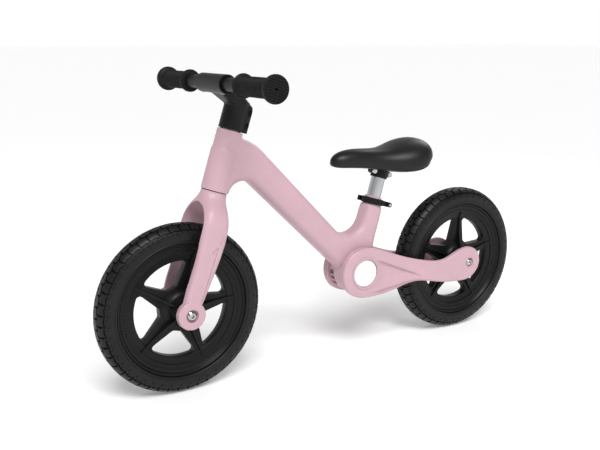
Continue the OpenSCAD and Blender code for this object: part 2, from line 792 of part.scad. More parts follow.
// Lever closed along the right side of the collar, its tip ahead of it
module clamp_lever() {
    h = collar_h - 2;
    head_r = barrel_r + 3;
    mid = [-4, -(collar_r + 5)];
    tip = [collar_r - 3, -(collar_r - 1)];
    color(BLACK) seating() translate([0, 0, clamp_mid - h / 2]) difference() {
        union() {
            translate([skewer_x, lever_y, 0]) cylinder(r = head_r, h = h);
            hull() {
                translate([skewer_x + 3, lever_y - 3.6, 0]) cylinder(r = 3, h = h, $fn = hull_fn);
                translate([mid[0], mid[1], 0]) cylinder(r = 2.2, h = h, $fn = hull_fn);
            }
            hull() {
                translate([mid[0], mid[1], 0]) cylinder(r = 2.2, h = h, $fn = hull_fn);
                translate([tip[0], tip[1], 0]) cylinder(r = 2.8, h = h, $fn = hull_fn);
            }
        }
        translate([skewer_x, lever_y, -1]) cylinder(r = barrel_r + run_gap, h = h + 2);
        translate([skewer_x - head_r - 1, lever_y - head_r - 1, h / 2 - skewer_r - face_gap])
            cube([head_r + 1 + skewer_r + face_gap, 2 * head_r + 2, 2 * (skewer_r + face_gap)]);
    }
}

// ------------------------------------------------------ seat post, saddle

module seat_post() {
    color(STEEL) seating() translate([0, 0, post_top - post_len])
        ring(post_d / 2, post_d / 2 - 2, post_len);
}

module cheek_solid() {
    ear_t = 6;
    difference() {
        union() {
            translate([0, 0, cheek_low]) cylinder(r = post_d / 2 + 2.6, h = post_top - cheek_low);
            for (s = [-1, 1]) translate([s * cheek_bolt_x, 0, cheek_bolt_s]) {
                rotate([-90, 0, 0]) cylinder(r = 5.5, h = ear_t);
                translate([s > 0 ? -6 : 0, 0, -5.5]) cube([6, ear_t, 11]);
            }
            hull() {
                translate([0, lug_half + face_gap, pivot_s]) rotate([-90, 0, 0])
                    cylinder(r = lug_r, h = 4, $fn = hull_fn);
                translate([-lug_r, lug_half + face_gap, post_top - 8]) cube([2 * lug_r, 4, 1]);
            }
        }
        translate([0, 0, cheek_low - 1]) cylinder(r = post_d / 2 + seat_gap,
            h = post_top - cheek_low + 1 + seat_gap);
        translate([-50, -50, cheek_low - 20]) cube([100, 50.4, 90]);
        for (s = [-1, 1]) translate([s * cheek_bolt_x, 0, cheek_bolt_s]) rotate([-90, 0, 0]) {
            cylinder(r = pinch_r + seat_gap, h = 60, center = true);
            translate([0, 0, ear_t]) cylinder(r = pinch_r * 2 + 0.3, h = 20);
        }
        translate([0, 0, pivot_s]) rotate([90, 0, 0])
            cylinder(r = pin_r + seat_gap, h = 60, center = true);
    }
}

module left_post_cheek() color(BLACK) seating() cheek_solid();
module right_post_cheek() color(BLACK) seating() mirror([0, 1, 0]) cheek_solid();

module cheek_bolts() {
    color(STEEL) seating() for (s = [-1, 1])
        translate([s * cheek_bolt_x, -6 - seat_gap, cheek_bolt_s]) rotate([90, 0, 0])
            domed_bolt(pinch_r, 16.5, pinch_r * 1.8, 3.6);
}

module cheek_nuts() {
    color(STEEL) seating() for (s = [-1, 1])
        translate([s * cheek_bolt_x, 6 + seat_gap, cheek_bolt_s]) rotate([-90, 0, 0])
            ring(pinch_r * 1.9, pinch_r + seat_gap, 4);
}

module saddle_pivot_bolt() {
    color(STEEL) seating() translate([0, lug_half + face_gap + 4 + seat_gap, pivot_s])
        rotate([-90, 0, 0])
            domed_bolt(pin_r, 2 * (lug_half + face_gap + 4) + 3, pin_r * 1.7, 3.6);
}

// Plan of the saddle's hollow, grown by g: round nose, two round wings
module pan_plan(g) {
    wing = saddle_w * 0.20;
    hull() {
        translate([pad_x - 30, 0]) circle(r = 9 + g, $fn = hull_fn);
        for (s = [-1, 1])
            translate([pad_x - saddle_len + 46, s * (saddle_w / 2 - 18 - wing)])
                circle(r = wing + g, $fn = hull_fn);
    }
}

module saddle_pan() {
    color(BLACK) difference() {
        union() {
            translate([0, 0, pan_z]) linear_extrude(height = pan_t) pan_plan(-face_gap);
            bar_y(pivot_x, pivot_z, lug_r, -lug_half, lug_half);
            translate([pivot_x - lug_r, -lug_half, pivot_z])
                cube([2 * lug_r, 2 * lug_half, pan_z - pivot_z + 1]);
        }
        bar_y(pivot_x, pivot_z, pin_r + run_gap, -30, 30);
    }
}

// Ellipsoid of the pad at x behind the nose tip
module pad_ball(x, y, z, size) {
    translate([pad_x - x, y, pan_z + z]) scale(size) sphere(r = 1, $fn = hull_fn);
}

module saddle_pad() {
    wing = saddle_w / 4 + 1;
    top = saddle_h / 2;
    color(BLACK) difference() {
        union() {
            hull() {
                pad_ball(25, 0, 3, [25, 21, top * 0.55]);
                pad_ball(90, 0, -1, [36, 31, top * 0.63]);
            }
            hull() {
                pad_ball(90, 0, -1, [36, 31, top * 0.63]);
                pad_ball(saddle_len - 34, 0, 3, [34, saddle_w * 0.34, top]);
                for (s = [-1, 1])
                    pad_ball(saddle_len - 36, s * (saddle_w / 2 - wing), -2, [36, wing, top * 0.8]);
            }
        }
        translate([0, 0, pan_z - saddle_h]) linear_extrude(height = saddle_h + pan_t + face_gap)
            pan_plan(0);
    }
}

// -------------------------------------------------------------- selection

frame_shell();
head_bearings();
head_seals();
left_stay();
right_stay();
hub_bolt();
hub_nut();
left_hub_cap();
right_hub_cap();
fork();
steerer_tube();
stem();
stem_pinch_bolts();
stem_pinch_nuts();
handlebar();
bar_grub_screws();
left_grip();
right_grip();
front_axle();
front_axle_bolts();
front_spacers();
front_rim();
front_tyre();
front_bearings();
rear_axle();
rear_axle_bolts();
rear_spacers();
rear_rim();
rear_tyre();
rear_bearings();
seat_clamp();
clamp_skewer();
clamp_nut();
lever_barrel();
clamp_lever();
seat_post();
left_post_cheek();
right_post_cheek();
cheek_bolts();
cheek_nuts();
saddle_pivot_bolt();
saddle_pan();
saddle_pad();
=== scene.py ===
"""Looks of a child's balance bike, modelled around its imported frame.

Pieces are shaped in millimetres and set into the row frame in metres.
X points forward, Y to the rider's left, Z up; the ground is z = 0.
"""

import json
import math

import bmesh
import bpy
import numpy as np
from mathutils import Matrix, Vector


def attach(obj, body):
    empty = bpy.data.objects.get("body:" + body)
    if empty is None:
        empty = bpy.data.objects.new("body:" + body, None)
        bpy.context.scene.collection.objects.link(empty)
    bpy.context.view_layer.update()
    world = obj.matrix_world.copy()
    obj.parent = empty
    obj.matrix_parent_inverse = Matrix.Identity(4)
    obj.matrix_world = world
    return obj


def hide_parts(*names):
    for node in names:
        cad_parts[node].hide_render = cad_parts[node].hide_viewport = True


bl_info = {
    "name": "Balance bike",
    "version": (1, 0, 0),
    "blender": (4, 5, 0),
    "location": "3D View > Sidebar > Bike",
    "description": "Builds the castings, wheels, saddle and finishes of a balance bike",
    "category": "Object",
}

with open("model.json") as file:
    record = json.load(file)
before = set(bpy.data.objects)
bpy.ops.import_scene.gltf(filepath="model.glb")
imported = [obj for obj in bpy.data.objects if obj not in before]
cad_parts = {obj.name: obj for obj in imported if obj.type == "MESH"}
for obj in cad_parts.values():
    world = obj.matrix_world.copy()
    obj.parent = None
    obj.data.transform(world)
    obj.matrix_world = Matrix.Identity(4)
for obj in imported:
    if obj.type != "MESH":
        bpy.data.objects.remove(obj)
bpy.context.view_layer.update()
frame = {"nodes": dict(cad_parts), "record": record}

MM = 0.001
TAU = 2 * math.pi


# ------------------------------------------------------------------ sizes


class BikeSizes(bpy.types.PropertyGroup):
    """Sizes of the visible pieces, in millimetres and degrees."""

    head_angle: bpy.props.FloatProperty(
        name="Head angle", description="Steering axis above the ground", default=72.0
    )
    seat_angle: bpy.props.FloatProperty(
        name="Seat angle", description="Seat tube above the ground", default=73.0
    )
    foot_x: bpy.props.FloatProperty(
        name="Foot x", description="Foot of the steering axis, forward", default=297.294
    )
    foot_z: bpy.props.FloatProperty(
        name="Foot z", description="Foot of the steering axis, up", default=143.146
    )
    hub_x: bpy.props.FloatProperty(
        name="Hub x", description="Frame hub, forward", default=-54.0
    )
    hub_z: bpy.props.FloatProperty(name="Hub z", description="Frame hub, up", default=157.0)
    axle_x: bpy.props.FloatProperty(
        name="Axle x", description="Wheel axle from the middle of the bike", default=303.0
    )
    wheel_r: bpy.props.FloatProperty(
        name="Wheel radius", description="Outer radius of the tyres", default=145.0
    )
    rim_r: bpy.props.FloatProperty(
        name="Rim radius", description="Radius of the tyre's seat", default=114.0
    )
    seam: bpy.props.FloatProperty(
        name="Seam", description="Height of the head tube's lower end", default=204.0
    )
    head_top: bpy.props.FloatProperty(
        name="Head top", description="Height of the head tube's upper end", default=306.0
    )
    bar_reach: bpy.props.FloatProperty(
        name="Bar reach", description="Handlebar ahead of the steering axis", default=48.0
    )
    bar_height: bpy.props.FloatProperty(
        name="Bar height", description="Handlebar along the steering axis", default=372.5
    )
    grip_length: bpy.props.FloatProperty(
        name="Grip length", description="Length of a grip with its end", default=103.0
    )
    grip_start: bpy.props.FloatProperty(
        name="Grip start", description="Inner end of a grip from the middle", default=96.0
    )
    arch_half: bpy.props.FloatProperty(
        name="Arch half-width", description="Half-width of the fork's arch", default=40.5
    )
    arch_top: bpy.props.FloatProperty(
        name="Arch top", description="Top of the fork's arch along the axis", default=180.0
    )
    throat_radius: bpy.props.FloatProperty(
        name="Throat radius", description="Fillet under the head tube", default=27.0
    )
    valley_radius: bpy.props.FloatProperty(
        name="Valley radius", description="Fillet ahead of the seat tube", default=37.0
    )
    shoulder_radius: bpy.props.FloatProperty(
        name="Shoulder radius", description="Bend behind the head tube's top", default=84.0
    )
    front_turn: bpy.props.FloatProperty(
        name="Front wheel turn", description="First spoke from straight up", default=14.0
    )
    rear_turn: bpy.props.FloatProperty(
        name="Rear wheel turn", description="First spoke from straight up", default=4.5
    )
    tube_half: bpy.props.FloatProperty(
        name="Tube half-width", description="Half-width of the down tube", default=20.0
    )
    tube_round: bpy.props.FloatProperty(
        name="Tube rounding", description="Radius of the down tube's edges", default=13.0
    )
    tread_pitches: bpy.props.IntProperty(
        name="Tread pitches", description="Blocks round a tyre", default=48
    )
    tread_depth: bpy.props.FloatProperty(
        name="Tread depth", description="Depth of the tread's grooves", default=3.4
    )


class BikeColours(bpy.types.PropertyGroup):
    """Colours of the finishes."""

    paint: bpy.props.FloatVectorProperty(
        name="Paint", description="Frame, fork and stays", subtype="COLOR",
        default=(0.54, 0.352, 0.40),
    )
    plastic: bpy.props.FloatVectorProperty(
        name="Plastic", description="Rims", subtype="COLOR", default=(0.006, 0.006, 0.0063)
    )
    metal_black: bpy.props.FloatVectorProperty(
        name="Black metal", description="Stem and handlebar", subtype="COLOR",
        default=(0.0065, 0.0065, 0.0068),
    )
    foam: bpy.props.FloatVectorProperty(
        name="Tyre foam", description="Tyres", subtype="COLOR", default=(0.0065, 0.0065, 0.0068)
    )
    rubber: bpy.props.FloatVectorProperty(
        name="Rubber", description="Grips", subtype="COLOR", default=(0.0065, 0.0065, 0.0068)
    )
    skin: bpy.props.FloatVectorProperty(
        name="Saddle skin", description="Saddle", subtype="COLOR", default=(0.0065, 0.0065, 0.0068)
    )
    cap: bpy.props.FloatVectorProperty(
        name="Cap", description="Hub caps", subtype="COLOR", default=(0.88, 0.89, 0.89)
    )
    chrome: bpy.props.FloatVectorProperty(
        name="Chrome", description="Seat post and bolts", subtype="COLOR",
        default=(0.50, 0.51, 0.53),
    )
    steel: bpy.props.FloatVectorProperty(
        name="Steel", description="Axles and bearings", subtype="COLOR",
        default=(0.52, 0.53, 0.55),
    )


def sizes():
    return bpy.context.scene.bike_sizes


def colours():
    return bpy.context.scene.bike_colours


def placed(x, z, turn):
    """Millimetres to metres at a place, turned about Y by degrees."""
    return (
        Matrix.Scale(MM, 4)
        @ Matrix.Translation((x, 0, z))
        @ Matrix.Rotation(math.radians(turn), 4, "Y")
    )


def steering():
    s = sizes()
    return placed(s.foot_x, s.foot_z, s.head_angle - 90)


def seating():
    s = sizes()
    return placed(s.hub_x, s.hub_z, s.seat_angle - 90)


def row():
    return Matrix.Scale(MM, 4)


# ------------------------------------------------------------- modelling


def alone(obj):
    """Makes obj the only selected object, in object mode."""
    if bpy.context.mode != "OBJECT":
        bpy.ops.object.mode_set(mode="OBJECT")
    bpy.ops.object.select_all(action="DESELECT")
    obj.select_set(True)
    bpy.context.view_layer.objects.active = obj
    return obj


def nothing_selected():
    if bpy.context.mode != "OBJECT":
        bpy.ops.object.mode_set(mode="OBJECT")
    bpy.ops.object.select_all(action="DESELECT")


def named(name):
    obj = bpy.context.object
    obj.name = obj.data.name = name
    return obj


def editing(obj, select="SELECT"):
    alone(obj)
    bpy.ops.object.mode_set(mode="EDIT")
    bpy.ops.mesh.select_all(action=select)


def done():
    bpy.ops.object.mode_set(mode="OBJECT")


def outwards(obj, doubles=0.0005):
    """Merges doubled points and turns every face outwards."""
    editing(obj)
    bpy.ops.mesh.remove_doubles(threshold=doubles)
    bpy.ops.mesh.normals_make_consistent(inside=False)
    done()
    return obj


def applied(obj, kind, **settings):
    """Adds a modifier with these settings and applies it."""
    alone(obj)
    modifier = obj.modifiers.new(kind.lower(), kind)
    for key, value in settings.items():
        setattr(modifier, key, value)
    bpy.ops.object.modifier_apply(modifier=modifier.name)
    return obj


def moved(obj, matrix):
    obj.data.transform(matrix)
    obj.data.update()
    return obj


def joined(first, *others):
    """One object from several."""
    alone(first)
    for o in others:
        o.select_set(True)
    bpy.ops.object.join()
    return first


def copy_of(obj, name, matrix=None):
    twin = obj.copy()
    twin.data = obj.data.copy()
    twin.name = twin.data.name = name
    bpy.context.scene.collection.objects.link(twin)
    if matrix is not None:
        moved(twin, matrix)
    return twin


def combined(obj, other, operation, solver="MANIFOLD"):
    """Adds, cuts or keeps the overlap of other, and removes it."""
    before = len(obj.data.polygons)
    applied(obj, "BOOLEAN", operation=operation, object=other, solver=solver)
    bpy.data.objects.remove(other)
    if not len(obj.data.polygons) and before:
        raise RuntimeError(f"{obj.name}: nothing is left after {operation}")
    return obj


def rod(name, radius, start, end, sides=72):
    """A round bar between two points."""
    nothing_selected()
    a, b = Vector(start), Vector(end)
    bpy.ops.mesh.primitive_cone_add(
        vertices=sides,
        radius1=radius,
        radius2=radius,
        depth=(b - a).length,
    )
    turn = (b - a).to_track_quat("Z", "Y").to_matrix().to_4x4()
    return moved(named(name), Matrix.Translation((a + b) / 2) @ turn)


def block(name, low, high):
    """A square-edged block between two corners, for cutting."""
    nothing_selected()
    bpy.ops.mesh.primitive_cube_add(size=1)
    low, high = Vector(low), Vector(high)
    size = Matrix.Diagonal((*(high - low), 1))
    return moved(named(name), Matrix.Translation((low + high) / 2) @ size)


def slab(name, points, y0, y1, soft=0.0, steps=5):
    """An XZ outline drawn out along Y, its two rims rounded by soft."""
    nothing_selected()
    bpy.ops.mesh.primitive_circle_add(vertices=len(points), fill_type="NGON")
    obj = named(name)
    for vertex, (x, z) in zip(obj.data.vertices, points):
        vertex.co = (x, y0 + soft, z)
    editing(obj)
    depth = y1 - y0 - 2 * soft
    bpy.ops.mesh.extrude_region_move(TRANSFORM_OT_translate={"value": (0, depth, 0)})
    bpy.ops.mesh.select_all(action="SELECT")
    bpy.ops.mesh.normals_make_consistent(inside=False)
    if soft:
        for side in (y0 + soft, y1 - soft):
            pick_faces(obj, lambda f, y=side: all(abs(v.co.y - y) < 1e-3 for v in f.verts))
            inset, rise = 0.0, 0.0
            for k in range(1, steps + 1):
                a = math.pi / 2 * k / steps
                next_inset, next_rise = soft * (1 - math.cos(a)), soft * math.sin(a)
                bpy.ops.mesh.inset(
                    thickness=next_inset - inset, depth=next_rise - rise, use_even_offset=True
                )
                inset, rise = next_inset, next_rise
    done()
    return obj


def pick_faces(obj, test):
    """In edit mode, selects the faces that pass the test."""
    bpy.ops.mesh.select_mode(type="FACE")
    bpy.ops.mesh.select_all(action="DESELECT")
    mesh = bmesh.from_edit_mesh(obj.data)
    for f in mesh.faces:
        f.select_set(bool(test(f)))
    bmesh.update_edit_mesh(obj.data)


def spun(name, profile, steps=96):
    """A closed (radius, height) outline turned round the Z axis."""
    nothing_selected()
    bpy.ops.mesh.primitive_circle_add(vertices=len(profile), fill_type="NOTHING")
    obj = named(name)
    for vertex, (r, h) in zip(obj.data.vertices, profile):
        vertex.co = (r, 0, h)
    editing(obj)
    bpy.ops.mesh.spin(
        steps=steps, angle=TAU, center=(0, 0, 0), axis=(0, 0, 1), use_auto_merge=True
    )
    done()
    return outwards(obj)


def loft(name, rings):
    """A closed skin through rings of points of one count."""
    n = len(rings[0])
    points = [tuple(p) for ring in rings for p in ring]
    faces = []
    for k in range(len(rings) - 1):
        for i in range(n):
            j = (i + 1) % n
            faces.append((k * n + i, k * n + j, (k + 1) * n + j, (k + 1) * n + i))
    faces.append(tuple(reversed(range(n))))
    faces.append(tuple(range((len(rings) - 1) * n, len(rings) * n)))
    mesh = bpy.data.meshes.new(name)
    mesh.from_pydata(points, [], faces)
    obj = bpy.data.objects.new(name, mesh)
    bpy.context.scene.collection.objects.link(obj)
    return outwards(obj)


def wrapped(obj):
    """The convex hull of an object's points."""
    editing(obj)
    bpy.ops.mesh.convex_hull()
    done()
    return obj


def cast(obj, grain, passes):
    """Melts joined shells into one skin, with the soft corners of a casting."""
    applied(obj, "REMESH", mode="VOXEL", voxel_size=grain, use_smooth_shade=True)
    applied(obj, "SMOOTH", factor=0.5, iterations=passes)
    return obj


def reshaped(obj, move):
    """Moves every point: move takes x, y, z arrays and gives them back."""
    count = len(obj.data.vertices)
    flat = np.empty(count * 3)
    obj.data.vertices.foreach_get("co", flat)
    x, y, z = flat.reshape(-1, 3).T
    obj.data.vertices.foreach_set("co", np.stack(move(x, y, z), axis=1).ravel())
    obj.data.update()
    return obj


def ramp(value, low, high):
    """0 below low, 1 above high, and smooth between them."""
    t = np.clip((value - low) / (high - low), 0, 1)
    return t * t * (3 - 2 * t)


def filleted(corners, fineness=7):
    """A closed outline of (point, radius) corners, each rounded by its arc."""
    made = []
    for i, (corner, radius) in enumerate(corners):
        p = Vector(corner)
        if not radius:
            made.append(tuple(p))
            continue
        a = (Vector(corners[i - 1][0]) - p).normalized()
        b = (Vector(corners[(i + 1) % len(corners)][0]) - p).normalized()
        half = a.angle(b) / 2
        centre = p + (a + b).normalized() * radius / math.sin(half)
        reach = radius / math.tan(half)
        start, end = p + a * reach - centre, p + b * reach - centre
        first = math.atan2(start.y, start.x)
        turn = (math.atan2(end.y, end.x) - first + math.pi) % TAU - math.pi
        count = max(2, round(fineness * abs(turn)))
        for k in range(count + 1):
            t = first + turn * k / count
            made.append((centre.x + radius * math.cos(t), centre.y + radius * math.sin(t)))
    return made


def crossing(p, a, q, b):
    """Where the line through p at a degrees meets the one through q at b."""
    a, b = math.radians(a), math.radians(b)
    gap = (q[0] - p[0], q[1] - p[1])
    reach = (gap[0] * math.sin(b) - gap[1] * math.cos(b)) / math.sin(b - a)
    return p[0] + reach * math.cos(a), p[1] + reach * math.sin(a)


def oval(half_a, half_b, squareness, count=64):
    """Points round a superellipse, from round at 2 to square-shouldered at 5."""
    made = []
    for t in np.linspace(0, TAU, count, endpoint=False):
        c, s = math.cos(t), math.sin(t)
        made.append((
            half_a * math.copysign(abs(c) ** (2 / squareness), c),
            half_b * math.copysign(abs(s) ** (2 / squareness), s),
        ))
    return made


def curve_through(points, steps):
    """A smooth closed line through points."""
    p = [np.array(q, float) for q in points]
    n = len(p)
    made = []
    for i in range(n):
        a, b, c, d = p[i - 1], p[i], p[(i + 1) % n], p[(i + 2) % n]
        for k in range(steps):
            t = k / steps
            q = 0.5 * (
                2 * b + (c - a) * t + (2 * a - 5 * b + 4 * c - d) * t**2
                + (3 * b - a - 3 * c + d) * t**3
            )
            made.append(tuple(q))
    return made


def settled(obj, matrix, body, finish, nodes=(), crease=None):
    """Places a finished piece, dresses it and hangs it on its body."""
    moved(obj, matrix)
    obj.data.materials.clear()
    obj.data.materials.append(finish)
    alone(obj)
    if crease is None:
        bpy.ops.object.shade_smooth()
    else:
        bpy.ops.object.shade_smooth_by_angle(angle=math.radians(crease))
    bpy.ops.object.select_all(action="DESELECT")
    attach(obj, body)
    if nodes:
        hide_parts(*nodes)
    return obj


# -------------------------------------------------------------- finishes


class Term:
    """A socket's value that can stand in a sum."""

    def __init__(self, finish, socket):
        self.finish, self.socket = finish, socket

    def _with(self, operation, first, second):
        node = self.finish.node("ShaderNodeMath", {"operation": operation}, {0: first, 1: second})
        return Term(self.finish, node.outputs[0])

    def __add__(self, other):
        return self._with("ADD", self, other)

    __radd__ = __add__

    def __sub__(self, other):
        return self._with("SUBTRACT", self, other)

    def __rsub__(self, other):
        return self._with("SUBTRACT", other, self)

    def __mul__(self, other):
        return self._with("MULTIPLY", self, other)

    __rmul__ = __mul__

    def clear(self):
        """Held between 0 and 1."""
        return self._with("MAXIMUM", self._with("MINIMUM", self, 1.0), 0.0)


class Finish:
    """A node material under construction."""

    def __init__(self, name):
        self.material = bpy.data.materials.new(name)
        self.material.use_nodes = True
        self.tree = self.material.node_tree
        self.shader = self.tree.nodes["Principled BSDF"]
        self.place = self.node("ShaderNodeTexCoord", {}, {}).outputs["Object"]

    def node(self, kind, settings, values):
        node = self.tree.nodes.new(kind)
        for key, value in settings.items():
            setattr(node, key, value)
        for key, value in values.items():
            self.feed(node.inputs[key], value)
        return node

    def feed(self, socket, value):
        if isinstance(value, Term):
            value = value.socket
        if isinstance(value, bpy.types.NodeSocket):
            self.tree.links.new(value, socket)
        else:
            socket.default_value = value

    def stretched(self, scale):
        values = {"Vector": self.place, "Scale": scale}
        return self.node("ShaderNodeMapping", {}, values).outputs[0]

    def noise(self, scale, detail=2.0, roughness=0.5, place=None):
        values = {
            "Vector": place or self.place, "Scale": scale, "Detail": detail,
            "Roughness": roughness,
        }
        return Term(self, self.node("ShaderNodeTexNoise", {}, values).outputs[0])

    def cells(self, scale):
        values = {"Vector": self.place, "Scale": scale}
        node = self.node("ShaderNodeTexVoronoi", {"feature": "F1"}, values)
        return Term(self, node.outputs["Distance"])

    def blend(self, factor, first, second):
        settings = {"data_type": "RGBA", "clamp_factor": True}
        node = self.node("ShaderNodeMix", settings, {0: factor, 6: first, 7: second})
        return node.outputs[2]

    def bump(self, height, distance, strength=1.0):
        values = {"Height": height, "Distance": distance, "Strength": strength}
        node = self.node("ShaderNodeBump", {}, values)
        self.feed(self.shader.inputs["Normal"], node.outputs[0])

    def set(self, **values):
        for key, value in values.items():
            self.feed(self.shader.inputs[key.replace("_", " ")], value)
        return self.material


def tinted(colour, factor):
    return (*[min(1.0, c * factor) for c in colour], 1.0)


def paint():
    """Satin powder coat: faint mottling, orange peel and a thin clear sheen."""
    f = Finish("satin_pink_paint")
    c = colours().paint
    cloud = f.noise(26.0, 3.0)
    peel = f.noise(950.0, 2.0)
    speck = f.noise(2600.0, 1.0)
    base = f.blend((cloud - 0.35) * 2.2, tinted(c, 0.965), tinted(c, 1.03))
    f.bump(peel * 0.7 + speck * 0.3, 0.00006, 0.45)
    return f.set(
        Base_Color=base, Roughness=0.40 + (cloud - 0.5) * 0.10 + (speck - 0.5) * 0.06,
        Coat_Weight=0.07, Coat_Roughness=0.30, Specular_IOR_Level=0.36,
    )


def moulded_black(name, colour, rough, grain, depth, level=0.2):
    """Black moulding: a fine spark-eroded grain with slightly uneven gloss."""
    f = Finish(name)
    cloud = f.noise(34.0, 3.0)
    fine = f.noise(grain, 3.0, 0.6)
    base = f.blend((cloud - 0.3) * 2.0, tinted(colour, 0.82), tinted(colour, 1.25))
    f.bump(fine, depth, 0.6)
    return f.set(
        Base_Color=base, Roughness=rough + (fine - 0.5) * 0.16 + (cloud - 0.5) * 0.10,
        Specular_IOR_Level=level,
    )


def foam():
    """Closed-cell foam: pebbled skin, dull, a trace of pale dust in the grain."""
    f = Finish("foam_tyre_skin")
    c = colours().foam
    cloud = f.noise(22.0, 3.0)
    pores = f.cells(1500.0)
    fine = f.noise(700.0, 3.0, 0.6)
    base = f.blend((cloud - 0.35) * 2.0 + (fine - 0.5) * 0.8, tinted(c, 0.85), tinted(c, 1.6))
    f.bump(pores * 0.5 + fine * 0.5, 0.00010, 0.55)
    return f.set(
        Base_Color=base, Roughness=0.42 + (fine - 0.5) * 0.22 + (cloud - 0.5) * 0.10,
        Specular_IOR_Level=0.25,
    )


def skin():
    """Saddle skin: smooth moulded foam with a very fine leather grain."""
    f = Finish("saddle_skin_black")
    c = colours().skin
    cloud = f.noise(18.0, 3.0)
    grain = f.cells(900.0)
    fine = f.noise(2200.0, 2.0)
    base = f.blend((cloud - 0.3) * 1.8, tinted(c, 0.85), tinted(c, 1.2))
    f.bump(grain * 0.6 + fine * 0.4, 0.00005, 0.35)
    return f.set(
        Base_Color=base, Roughness=0.40 + (fine - 0.5) * 0.10 + (cloud - 0.5) * 0.08,
        Specular_IOR_Level=0.32,
    )


def metal(name, colour, rough, stretch):
    """Bare or plated metal with fine drawn lines and faint handling marks."""
    f = Finish(name)
    lines = f.noise(420.0, 2.0, 0.6, f.stretched(stretch))
    cloud = f.noise(60.0, 3.0)
    base = f.blend((cloud - 0.3) * 1.8, tinted(colour, 0.92), tinted(colour, 1.06))
    f.bump(lines, 0.00001, 0.25)
    return f.set(
        Base_Color=base, Metallic=1.0,
        Roughness=(rough + (lines - 0.5) * rough * 0.8 + (cloud - 0.5) * 0.04).clear(),
    )


def gloss_white():
    """Glossy white moulding with a faint warm variation and soft waviness."""
    f = Finish("white_cap_gloss")
    c = colours().cap
    cloud = f.noise(40.0, 2.0)
    fine = f.noise(500.0, 2.0)
    base = f.blend((cloud - 0.3) * 1.8, tinted(c, 0.985), tinted(c, 1.01))
    f.bump(fine, 0.00002, 0.2)
    return f.set(Base_Color=base, Roughness=0.22 + (fine - 0.5) * 0.08, Coat_Weight=0.2)


FINISHES = {}


def finish(slot):
    """The material of a slot, made once."""
    c = colours()
    makers = {
        "frame_paint": paint,
        "matte_black": lambda: moulded_black(
            "rim_plastic", c.plastic, 0.40, 900.0, 0.00008
        ),
        "black_metal": lambda: moulded_black(
            "black_powder_coat", c.metal_black, 0.42, 1500.0, 0.00006
        ),
        "grip_rubber": lambda: moulded_black(
            "grip_rubber_black", c.rubber, 0.56, 1100.0, 0.00008
        ),
        "foam_tyre": foam,
        "saddle_skin": skin,
        "white_cap": gloss_white,
        "chrome": lambda: metal("chrome_plate", c.chrome, 0.10, (1.0, 1.0, 0.08)),
        "steel": lambda: metal("zinc_steel", c.steel, 0.30, (1.0, 0.1, 1.0)),
    }
    if slot not in FINISHES:
        FINISHES[slot] = makers[slot]()
    return FINISHES[slot]


# ------------------------------------------------------------- operators


class BikeOperator(bpy.types.Operator):
    """Common base of the builders."""

    bl_options = {"REGISTER", "UNDO"}

    def execute(self, context):
        self.build()
        return {"FINISHED"}


